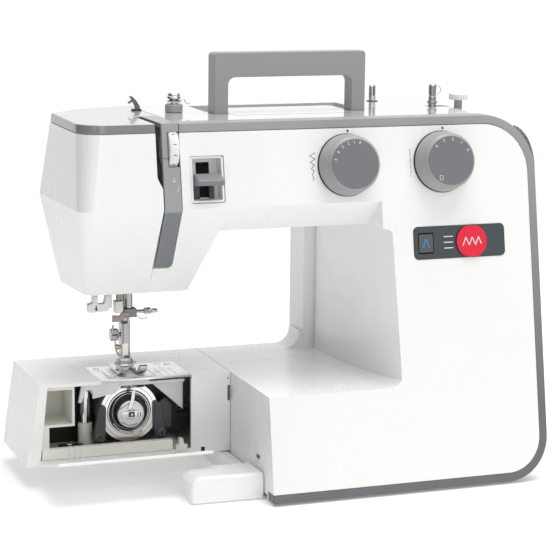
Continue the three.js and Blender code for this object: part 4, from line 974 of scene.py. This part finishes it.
# ---------------------------------------------------------------- right side and motion parts
def make_wheels():
    """The handwheel and the pattern knob."""
    wheel = Box("handwheel")
    centre = facing_right(wheel.left, wheel.centre.y, wheel.centre.z)
    radius = wheel.size.z / 2
    thick = wheel.size.x

    def handwheel(bm):
        draw_turned(bm, centre, [(radius - 2 * MM, 0), (radius, 0.8 * MM), (radius, thick * 0.6),
            (radius - 2.4 * MM, thick * 0.95), (radius - 7 * MM, thick),
            (radius - 9 * MM, thick - 1.6 * MM), (9 * MM, thick - 1.6 * MM), (8 * MM, thick - 0.2 * MM),
            (0, thick - 0.2 * MM)], steps=240, ribs=40, rib_depth=1.1 * MM, ribbed=(1, 2))

    def grip_dish(bm):
        dish = centre.moved(radius * 0.55, 0, thick - 1.6 * MM)
        draw_turned(bm, dish, mm([(6, 0.02), (5.4, 0.3), (0, 0.3)]), steps=32)

    piece_from("handwheel_rim", handwheel, wheel_grey, "drive", replaces=["handwheel"])
    piece_from("handwheel_grip", grip_dish, dark_grey, "drive")

    knob = Box("pattern_dial")
    radius_knob = knob.size.z / 2
    knob_centre = facing_right(band.right + 0.6 * MM, knob.centre.y, knob.centre.z)

    def pattern_knob(bm):
        draw_turned(bm, knob_centre, [(radius_knob - 1 * MM, 0), (radius_knob, 0.8 * MM),
            (radius_knob, 5 * MM), (radius_knob - 1.2 * MM, 6.2 * MM), (0, 6.4 * MM)], steps=240, ribs=60,
            rib_depth=0.5 * MM, ribbed=(1, 2))

    def knob_shaft(bm):
        draw_turned(bm, knob_centre, mm([(4, -14.6), (4, 0.1)]), steps=24)

    piece_from("pattern_knob_rim", pattern_knob, wheel_grey, "pattern_knob", replaces=["pattern_dial"])
    piece_from("pattern_knob_shaft", knob_shaft, steel, "pattern_knob")


# ---------------------------------------------------------------- shuttle bay in the free arm
HOOK_X, HOOK_Z = ring.centre.x, ring.centre.z


def make_latches():
    """The two black levers, with screws, that hold the race ring."""
    for side, node, body in ((-1, "left_race_latch", "left_latch"), (1, "right_race_latch", "right_latch")):
        box = Box(node)
        pivot_x = HOOK_X + side * 26.4 * MM
        pivot = facing_front(pivot_x, box.front + 1.4 * MM, HOOK_Z - 18 * MM)

        def arm_shape(bm, side=side, pivot=pivot):
            lean = -side * 3.4 * MM
            points = rounded([(-5.6 * MM, -5.4 * MM, 4 * MM), (5.6 * MM, -5.4 * MM, 4 * MM),
                              (lean + 2.9 * MM, 26 * MM, 2.6 * MM), (lean - 2.9 * MM, 26 * MM, 2.6 * MM)])
            draw_prism(bm, pivot, points, -1.6 * MM, 2.6 * MM)

        def screw(bm, pivot=pivot):
            draw_turned(bm, pivot, mm([(4.2, 2.4), (4.2, 3.2), (3.2, 3.9), (0, 4)]), steps=32)

        def slot_cross(bm, pivot=pivot):
            for points in ([(-2, 0.6), (2, -0.6)], [(-0.6, -2), (0.6, 2)]):
                draw_stroke(bm, pivot, mm(points), 0.9 * MM, 3.95 * MM, 4.05 * MM)

        def post(bm, pivot=pivot):
            draw_turned(bm, pivot, mm([(3.6, -9), (3.6, -2.1)]), steps=24)

        piece_from(node + "_arm", arm_shape, latch_grey, body, 1.1 * MM, 3, replaces=[node])
        piece_from(node + "_screw", screw, black_gloss, body, 0.2 * MM)
        piece_from(node + "_screw_slot", slot_cross, black, body)
        piece_from(node + "_post", post, black, body)


def make_bobbin_case():
    """The case seen in the race: its shell, bridge, window, pin, slots and finger."""
    case = Box("bobbin_case")
    front = facing_front(HOOK_X, case.front + 1.6 * MM, HOOK_Z)
    radius = case.size.x / 2

    def shell(bm):
        draw_turned(bm, front, [(radius - 0.4 * MM, -17 * MM), (radius, -16.6 * MM), (radius, -0.6 * MM),
            (radius - 0.8 * MM, 0), (4.4 * MM, 0), (4.2 * MM, -0.7 * MM), (0, -0.7 * MM)], steps=64)

    def bridge(bm):
        outline = rounded(mm([(-8.6, -2.4, 1), (9.4, -3.2, 1.4), (9.4, 3, 1.4), (-8.6, 2.6, 1)]), 4)
        draw_prism(bm, front, outline, 0.05 * MM, 0.9 * MM)

    def latch_window(bm):
        draw_prism(bm, front, rounded(mm([(-2.4, -2, 0.4), (2.6, -2, 0.4), (2.6, 2.2, 0.4),
            (-2.4, 2.2, 0.4)]), 3), 0.86 * MM, 0.98 * MM)

    def stud_pin(bm):
        draw_turned(bm, front, mm([(1.1, 0.9), (1.1, 2.2), (0.6, 2.6), (0, 2.6)]), steps=20)

    def slots(bm):
        for u in (5.4, 7.4):
            draw_stroke(bm, front, [(u * MM, -2 * MM), (u * MM, 2 * MM)], 0.6 * MM, 0.88 * MM, 0.96 * MM)
        draw_stroke(bm, front, mm([(-9.6, 4.6), (-3, 8.8), (3.4, 9.2)]), 0.5 * MM, *INK)
        draw_stroke(bm, front, mm([(-8, -6), (-2, -9.2), (5, -8.2)]), 0.5 * MM, *INK)

    def finger(bm):
        up = mm([(-3.4, 5), (-0.4, 4.4), (2.4, 12), (3.6, 19.6), (1.8, 20.6), (0.4, 19.6), (-0.6, 12.6)])
        draw_prism(bm, front, up, -0.2 * MM, 1.2 * MM)

    piece_from("case_shell", shell, steel, "body", 0.25 * MM, 2, replaces=["bobbin_case"])
    piece_from("case_bridge", bridge, chrome, "body", 0.25 * MM)
    piece_from("case_window", latch_window, black, "body")
    piece_from("case_pin", stud_pin, chrome, "body")
    piece_from("case_slots", slots, black, "body")
    piece_from("case_finger", finger, chrome, "body", 0.4 * MM, 3)


def make_race_detail():
    """Painted shade in the recess behind the case, as a black ring; an inner polished lip, and the thread
    spring on the ring.
    """
    face = facing_front(HOOK_X, ring.front, HOOK_Z)

    def inner_lip(bm):
        draw_ring(bm, face, 16.8 * MM, 18 * MM, -1.6 * MM, -0.4 * MM)
        draw_ring(bm, face.moved(0.6 * MM, 1.2 * MM), 14.6 * MM, 15.2 * MM, -1.4 * MM, 0.9 * MM)

    # Painted shade: a black ring in the recess behind the case, where shade falls between the parts.
    def shade_well(bm):
        draw_ring(bm, face, 11.9 * MM, 18.3 * MM, -3 * MM, -1.9 * MM)

    def outer_groove(bm):
        draw_ring(bm, face, 21.3 * MM, 21.9 * MM, -0.3 * MM, 0.06 * MM)

    piece_from("race_inner_lip", inner_lip, chrome, "body", 0.3 * MM)
    piece_from("race_dark_well", shade_well, black, "body")
    piece_from("race_groove", outer_groove, dark_chrome, "body")
    wire("race_spring", [face.at(15.6 * MM * math.cos(math.radians(a)),
        15.6 * MM * math.sin(math.radians(a)), 1.0 * MM) for a in range(-150, 50, 20)], 0.5 * MM, chrome,
        "body")
    wire("race_spring_end", [face.at(-8 * MM, -14.4 * MM, 1 * MM), face.at(0, -17 * MM, 1.2 * MM),
                             face.at(7 * MM, -18.6 * MM, 1.2 * MM), face.at(11 * MM, -16 * MM, 1.2 * MM)],
         0.6 * MM, steel, "body")


def make_bay_fittings():
    """Posts, plates, clips and a black sheet of painted shade inside the arm's opening."""
    left = arm.left
    floor_z = arm.low + 5 * MM
    post_x, post_y = HOOK_X - 33 * MM, arm.front + 26 * MM
    foot_plane = facing_up(post_x, post_y, floor_z)

    def post(bm):
        draw_turned(bm, foot_plane, mm([(4.4, 18), (4.4, 57)]), steps=32)

    def post_socket(bm):
        draw_turned(bm, foot_plane, mm([(6.2, 0), (6, 21), (5.4, 22), (4.5, 22)]), steps=40)

    # Painted shade: a black sheet at the back of the bay, where the inside of the arm lies in shade.
    def painted_shade_sheet(bm):
        draw_prism(bm, facing_front(0, arm.front + 46 * MM, 0), [
            (left + 12 * MM, floor_z), (HOOK_X - 26 * MM, floor_z), (HOOK_X - 26 * MM, arm.high - 4 * MM),
            (left + 20 * MM, arm.high - 4 * MM)], -0.8 * MM, 0)

    def ledge(bm):
        draw_prism(bm, facing_front(HOOK_X, arm.front + 10 * MM, arm.high), mm([(-32, -12.4), (-18, -9.6),
            (-14, -8), (47, -8), (47, -3.6), (-32, -3.6)]), -8 * MM, 0)

    def gusset(bm):
        draw_prism(bm, facing_front(HOOK_X, arm.front + 14 * MM, arm.high), mm([(20, -8.2), (46.8, -8.2),
            (46.8, -32)]), -3 * MM, 0)

    def bracket(bm):
        draw_prism(bm, facing_front(HOOK_X, arm.front + 9 * MM, arm.high), mm([(-43, -19), (-40, -19),
            (-37, -9), (-31, -9.4), (-31, -16.5), (-12, -13), (-8, -8), (-8, -3.8), (-40, -3.8)]),
            -3 * MM, 0)

    def shoulder(bm):
        side = facing_front(HOOK_X, arm.front + 22 * MM, HOOK_Z)
        draw_prism(bm, side, mm([(29, -20), (40, -18), (40, 2), (34, 8), (29, 4)]), -6 * MM, 0)

    def clip(bm):
        ribs = facing_front(left + 36 * MM, arm.front - 0.6 * MM, floor_z)
        for step in range(3):
            draw_prism(bm, ribs.moved(step * 4.6 * MM, 0), mm([(-0.8, -1), (0.8, -1), (0.8, 9.4),
                (-0.8, 9.4)]), -3 * MM, 0.4 * MM)
        draw_prism(bm, ribs, mm([(-3, 5), (12, 5), (12, 8), (-3, 8)]), -3 * MM, -1.4 * MM)

    def screw_strip(bm):
        strip_plane = facing_up(left + 40 * MM, arm.front + 14 * MM, floor_z + 3.4 * MM)
        draw_prism(bm, strip_plane, rounded(mm([(-10, -4, 1), (10, -6, 1), (10, 2, 1), (-10, 4, 1)])), 0,
            4 * MM)

    def strip_screw(bm):
        strip_plane = facing_up(left + 38 * MM, arm.front + 13 * MM, floor_z + 7.4 * MM)
        draw_turned(bm, strip_plane, mm([(3, 0.05), (3, 1.2), (2, 1.8), (0, 1.8)]), steps=24)

    def corner_bracket(bm):
        corner = facing_front(base_left - 40 * MM, arm.front - 0.4 * MM, arm.low)
        draw_prism(bm, corner, mm([(-7, 3.4), (2, 3.4), (3.4, 8), (0, 9), (-1, 14), (-4, 14), (-4.6, 9),
            (-7, 8)]), -4 * MM, 1 * MM)

    piece_from("bay_post", post, chrome, "body", 0.3 * MM)
    piece_from("bay_post_socket", post_socket, cream, "body", 0.4 * MM)
    piece_from("bay_back_sheet", painted_shade_sheet, black, "body")
    piece_from("bay_ledge", ledge, bay_plate_grey, "body", 0.6 * MM)
    piece_from("bay_gusset", gusset, bay_plate_grey, "body", 0.4 * MM)
    piece_from("bay_bracket", bracket, bay_plate_grey, "body", 0.5 * MM)
    piece_from("bay_shoulder", shoulder, dark_grey, "body", 1.2 * MM, 3)
    piece_from("bay_clip", clip, cream, "body", 0.3 * MM)
    piece_from("bay_screw_strip", screw_strip, black, "body", 0.5 * MM)
    piece_from("bay_strip_screw", strip_screw, chrome, "body", 0.2 * MM)
    piece_from("bay_corner_bracket", corner_bracket, cream, "body", 0.4 * MM)


def make_plate_marks():
    """Seam-guide lines and screws on the needle plate."""
    face = facing_up(plate.left, plate.front, plate.high)
    width, depth = plate.size.x, plate.size.y

    def lines(bm):
        for k, share in enumerate((0.12, 0.2, 0.28, 0.62, 0.70, 0.78, 0.86)):
            long = 0.72 if k % 2 else 0.6
            draw_stroke(bm, face, [(width * share, depth * 0.12), (width * share, depth * long)],
                0.35 * MM, *PLATE_INK)
        for share in (0.2, 0.35, 0.5, 0.65):
            for start in (0.09, 0.59):
                draw_stroke(bm, face, [(width * start, depth * share), (width * (start + 0.05),
                    depth * share)], 0.35 * MM, *PLATE_INK)

    def rings(bm):
        for u, v in ((0.14, 0.32), (0.68, 0.34), (0.8, 0.9)):
            spot = face.moved(width * u, depth * v)
            points = circle(2.6 * MM, 16)
            draw_stroke(bm, spot, points + points[:1], 0.35 * MM, *PLATE_INK)

    def screws(bm):
        for u, v in ((0.9, 0.86), (0.1, 0.86)):
            draw_turned(bm, face.moved(width * u, depth * v), mm([(2.6, 0.02), (2.4, 0.5), (0, 0.6)]),
                steps=28)

    piece_from("plate_lines", lines, ink_grey, "body")
    piece_from("plate_rings", rings, ink_grey, "body")
    piece_from("plate_screws", screws, chrome, "body")


# ---------------------------------------------------------------- needle and presser fittings
def make_presser():
    """The presser foot and the ankle that carries it, with screws and a spring."""
    bar = Box("presser_bar")
    foot_box = Box("presser_foot")
    x, y = bar.centre.x, bar.centre.y
    sole = foot_box.low

    def ankle(bm):
        side = Plane((x, y, sole), (0, 1, 0), (0, 0, 1))
        draw_prism(bm, side, mm([(-4, 9), (4.6, 9), (4.6, 41), (-3, 41), (-4, 38)]), -4 * MM, 4 * MM)

    def ankle_hollow(bm):
        draw_prism(bm, facing_front(x, y - 4 * MM, sole + 17 * MM), rectangle(5 * MM, 10 * MM, 0.8 * MM),
            0.02 * MM, 0.2 * MM)

    def thumb_screw(bm):
        left = facing_left(x - 4 * MM, y, sole + 29 * MM)
        draw_turned(bm, left, mm([(1.8, 0), (1.8, 1.6), (4.8, 1.9), (5, 2.6), (5, 7.4), (4.4, 8.2),
            (0, 8.3)]), steps=120, ribs=30, rib_depth=0.4 * MM, ribbed=(3, 4))

    def foot(bm):
        side = Plane((x, y, sole), (0, 1, 0), (0, 0, 1))
        front = foot_box.front - y
        back = foot_box.back - y
        profile = [(front - 2.4 * MM, 7.6 * MM), (front + 0.6 * MM, 3.4 * MM), (front + 5 * MM, 0.2 * MM),
                   (back - 2 * MM, 0.2 * MM), (back + 2 * MM, 2.2 * MM), (back + 1.4 * MM, 3.4 * MM),
                   (back - 3 * MM, 2.2 * MM), (front + 6 * MM, 2.2 * MM), (front + 2.4 * MM, 4.8 * MM),
                   (front - 0.9 * MM, 8.8 * MM)]
        draw_prism(bm, side, profile, 4.4 * MM, 11.4 * MM)
        draw_prism(bm, side, profile, -11.4 * MM, -4.4 * MM)
        draw_prism(bm, side, [(-4 * MM, 0.4 * MM), (back - 2 * MM, 0.4 * MM), (back - 3 * MM, 2.4 * MM),
                              (-4 * MM, 2.4 * MM)], -4.6 * MM, 4.6 * MM)

    def foot_bracket(bm):
        side = Plane((x, y, sole), (0, 1, 0), (0, 0, 1))
        cheek = mm([(-7, 2), (6, 2), (4, 8.4), (-3, 9.4), (-7, 6)])
        draw_prism(bm, side, cheek, 4.6 * MM, 5.8 * MM)
        draw_prism(bm, side, cheek, -5.8 * MM, -4.6 * MM)
        draw_turned(bm, Plane((x - 9 * MM, y - 2 * MM, sole + 5.4 * MM), (0, 1, 0), (0, 0, 1)),
            mm([(1.2, 0), (1.2, 18)]), steps=20)

    def small_screw(bm):
        left = facing_left(x - 4 * MM, y - 2 * MM, sole + 19 * MM)
        draw_turned(bm, left, mm([(1.6, 0), (1.6, 2), (2.4, 2.2), (2.4, 4), (0, 4.4)]), steps=24)

    piece_from("ankle_body", ankle, dark_chrome, "presser", 0.8 * MM, 3, replaces=["presser_ankle"])
    piece_from("ankle_hollow", ankle_hollow, plate_steel, "presser")
    piece_from("ankle_thumb_screw", thumb_screw, dark_chrome, "presser")
    piece_from("ankle_small_screw", small_screw, gold, "presser", 0.2 * MM)
    piece_from("foot_toes", foot, chrome, "presser", 0.5 * MM, 3, replaces=["presser_foot"])
    piece_from("foot_bracket", foot_bracket, steel, "presser", 0.3 * MM)
    wire("ankle_spring", [Vector((x - 10.6 * MM, y - 4 * MM, sole + 38 * MM)),
        Vector((x - 11.2 * MM, y - 4 * MM, sole + 33 * MM)),
        Vector((x - 9.4 * MM, y - 4 * MM, sole + 27 * MM)),
        Vector((x - 8.6 * MM, y - 4 * MM, sole + 18 * MM)),
        Vector((x - 6 * MM, y - 4 * MM, sole + 12 * MM))], 0.7 * MM, dark_chrome, "presser")


def make_needle_fittings():
    """What rides with the needle bar: clamp screw, guide plate, collar, rod and thread eye."""
    clamp = Box("needle_clamp")
    screw_box = Box("clamp_screw")
    y = clamp.centre.y

    def screw(bm):
        out = facing_right(screw_box.left, y, screw_box.centre.z)
        length = screw_box.size.x
        draw_turned(bm, out, [(1.5 * MM, 0), (1.5 * MM, 6.6 * MM), (2.6 * MM, 7 * MM),
            (2.8 * MM, 7.6 * MM), (2.8 * MM, 12.4 * MM), (2 * MM, 13 * MM), (1.6 * MM, 14 * MM),
            (1.9 * MM, 15 * MM), (1.4 * MM, length - 0.6 * MM), (0, length)], steps=96, ribs=24,
            rib_depth=0.3 * MM, ribbed=(3, 4))

    def guide_plate(bm):
        face = facing_front(clamp.left, y - 5.2 * MM, clamp.low)
        draw_prism(bm, face, mm([(-10, -3), (-2.6, -3), (0.6, 1), (5, 1.6), (5, 4.6), (-1, 4.8), (-4, 2),
            (-10, 2.4)]), -2.4 * MM, 0)

    def collar(bm):
        draw_prism(bm, facing_up(clamp.left - 3.6 * MM, y, clamp.high + 0.4 * MM),
            rounded(mm([(-3.6, -4, 1), (3.2, -4, 1), (3.2, 4, 1), (-3.6, 4, 1)])), -3.6 * MM, 6.2 * MM)

    def guide_rod(bm):
        draw_turned(bm, facing_up(clamp.left - 3.6 * MM, y, clamp.high + 6.4 * MM), mm([(2, 0), (2, 40)]),
            steps=24)

    piece_from("clamp_screw_turned", screw, chrome, "needle_bar", replaces=["clamp_screw"])
    piece_from("needle_guide_plate", guide_plate, copper_brown, "needle_bar", 0.4 * MM)
    piece_from("needle_collar", collar, cream, "needle_bar", 0.5 * MM)
    piece_from("needle_guide_rod", guide_rod, brown_chrome, "needle_bar")
    wire("needle_thread_eye", [Vector((clamp.right, y - 4 * MM, clamp.low + 1 * MM)),
                               Vector((clamp.right + 4 * MM, y - 4.6 * MM, clamp.low - 1.6 * MM)),
                               Vector((clamp.right + 9 * MM, y - 4 * MM, clamp.low - 1.2 * MM))],
         0.5 * MM, chrome, "needle_bar")


def make_threader():
    """The needle threader: a lever with an arrow, and its shaft."""
    box = Box("needle_threader")
    lever_face = facing_front(box.left + 12 * MM, box.front, box.low + 7 * MM)

    def lever_shape(bm):
        draw_prism(bm, lever_face, rounded(mm([(-9, -5.8, 1), (8, -5.2, 1), (10.6, 8), (6, 8),
            (4.6, 1, 1), (-1, 1, 1), (-1, 8), (-5, 8), (-5, 2, 1), (-9, 1, 1)]), 3), -6 * MM, 0)

    def arrow(bm):
        place = lever_face.moved(-2.4 * MM, -2.4 * MM)
        draw_prism(bm, place, mm([(-0.5, 2.4), (-0.5, 0), (-1.6, 0), (0, -2.2), (1.6, 0), (0.5, 0),
            (0.5, 2.4)]), *INK)

    def shaft(bm):
        draw_turned(bm, facing_up(box.centre.x + 6 * MM, box.centre.y, box.low + 4 * MM), [
            (2 * MM, 0), (2 * MM, box.size.z - 5 * MM)], steps=24)

    piece_from("threader_lever", lever_shape, white_satin, "threader", 0.5 * MM, 3,
        replaces=["needle_threader"])
    piece_from("threader_arrow", arrow, ink_black, "threader")
    piece_from("threader_shaft", shaft, white_satin, "threader")


# ---------------------------------------------------------------- small parts on the covers
def make_cover_details():
    """Panel lines, small openings and marks on the shells."""
    arm_face = facing_front(base_left, arm.front, arm.low)

    def arm_marks(bm):
        draw_prism(bm, arm_face.moved(-23.5 * MM, 3.2 * MM), rectangle(3.4 * MM, 3.4 * MM, 0.4 * MM),
            *INK)
        draw_turned(bm, arm_face.moved(-2.2 * MM, 61.5 * MM), mm([(0, 0.02), (0.7, 0.02), (0.7, 0.1),
            (0, 0.1)]), steps=16)

    def base_hole(bm):
        side = facing_left(base_left, band.front + 38 * MM, 30.6 * MM)
        draw_prism(bm, side, rectangle(6.4 * MM, 2.6 * MM, 0.3 * MM), *INK)

    def handle_line(bm):
        front = facing_up(0, handle.front - 14 * MM, TOP)
        left_u, right_u = handle.left + 14 * MM, handle.right - 18 * MM
        draw_stroke(bm, front, [(left_u, 0), (right_u, 0)], 0.4 * MM, 0.01 * MM, 0.06 * MM)
        draw_stroke(bm, front, [(left_u, 0), (left_u - 3 * MM, 14 * MM)], 0.4 * MM, 0.01 * MM, 0.06 * MM)

    piece_from("arm_marks", arm_marks, black, "body")
    piece_from("base_hole", base_hole, black, "body")
    piece_from("top_line", handle_line, ink_grey, "body")


def make_rear_details():
    """Vents, screws and a raised blank rating plate on the back, with no lettering."""
    back = Box("rear_cover").back
    face = Plane((0, back, 0), (-1, 0, 0), (0, 0, 1))
    screw_places = ((-20, 24), (185, 24), (185, 200), (60, 120), (-60, 245))

    def vents(bm):
        for row in range(6):
            draw_prism(bm, face.moved(-140 * MM, (60 + row * 7) * MM),
                rectangle(44 * MM, 2.6 * MM, 1.2 * MM), 0.02 * MM, 0.16 * MM)

    def screws(bm):
        for x, z in screw_places:
            spot = face.moved(-x * MM, z * MM)
            draw_turned(bm, spot, mm([(3.4, 0.02), (3.2, 1), (2.2, 1.5), (0, 1.6)]), steps=28)

    def crosses(bm):
        for x, z in screw_places:
            spot = face.moved(-x * MM, z * MM)
            for points in ([(-1.6, 0), (1.6, 0)], [(0, -1.6), (0, 1.6)]):
                draw_stroke(bm, spot, mm(points), 0.6 * MM, 1.55 * MM, 1.66 * MM)

    def blank_plate(bm):
        draw_prism(bm, face.moved(-70 * MM, 45 * MM), rectangle(60 * MM, 26 * MM, 2 * MM), 0.02 * MM,
            0.2 * MM)

    piece_from("rear_vents", vents, black, "body")
    piece_from("rear_screws", screws, chrome, "body")
    piece_from("rear_screw_slots", crosses, black, "body")
    piece_from("rear_blank_plate", blank_plate, trim_grey, "body")


finish_nodes()
make_dials()
make_display()
make_reverse_lever()
make_tension_wheel()
make_strip_marks()
make_top_fittings()
make_wheels()
make_latches()
make_bobbin_case()
make_race_detail()
make_bay_fittings()
make_plate_marks()
make_presser()
make_needle_fittings()
make_threader()
make_cover_details()
make_rear_details()
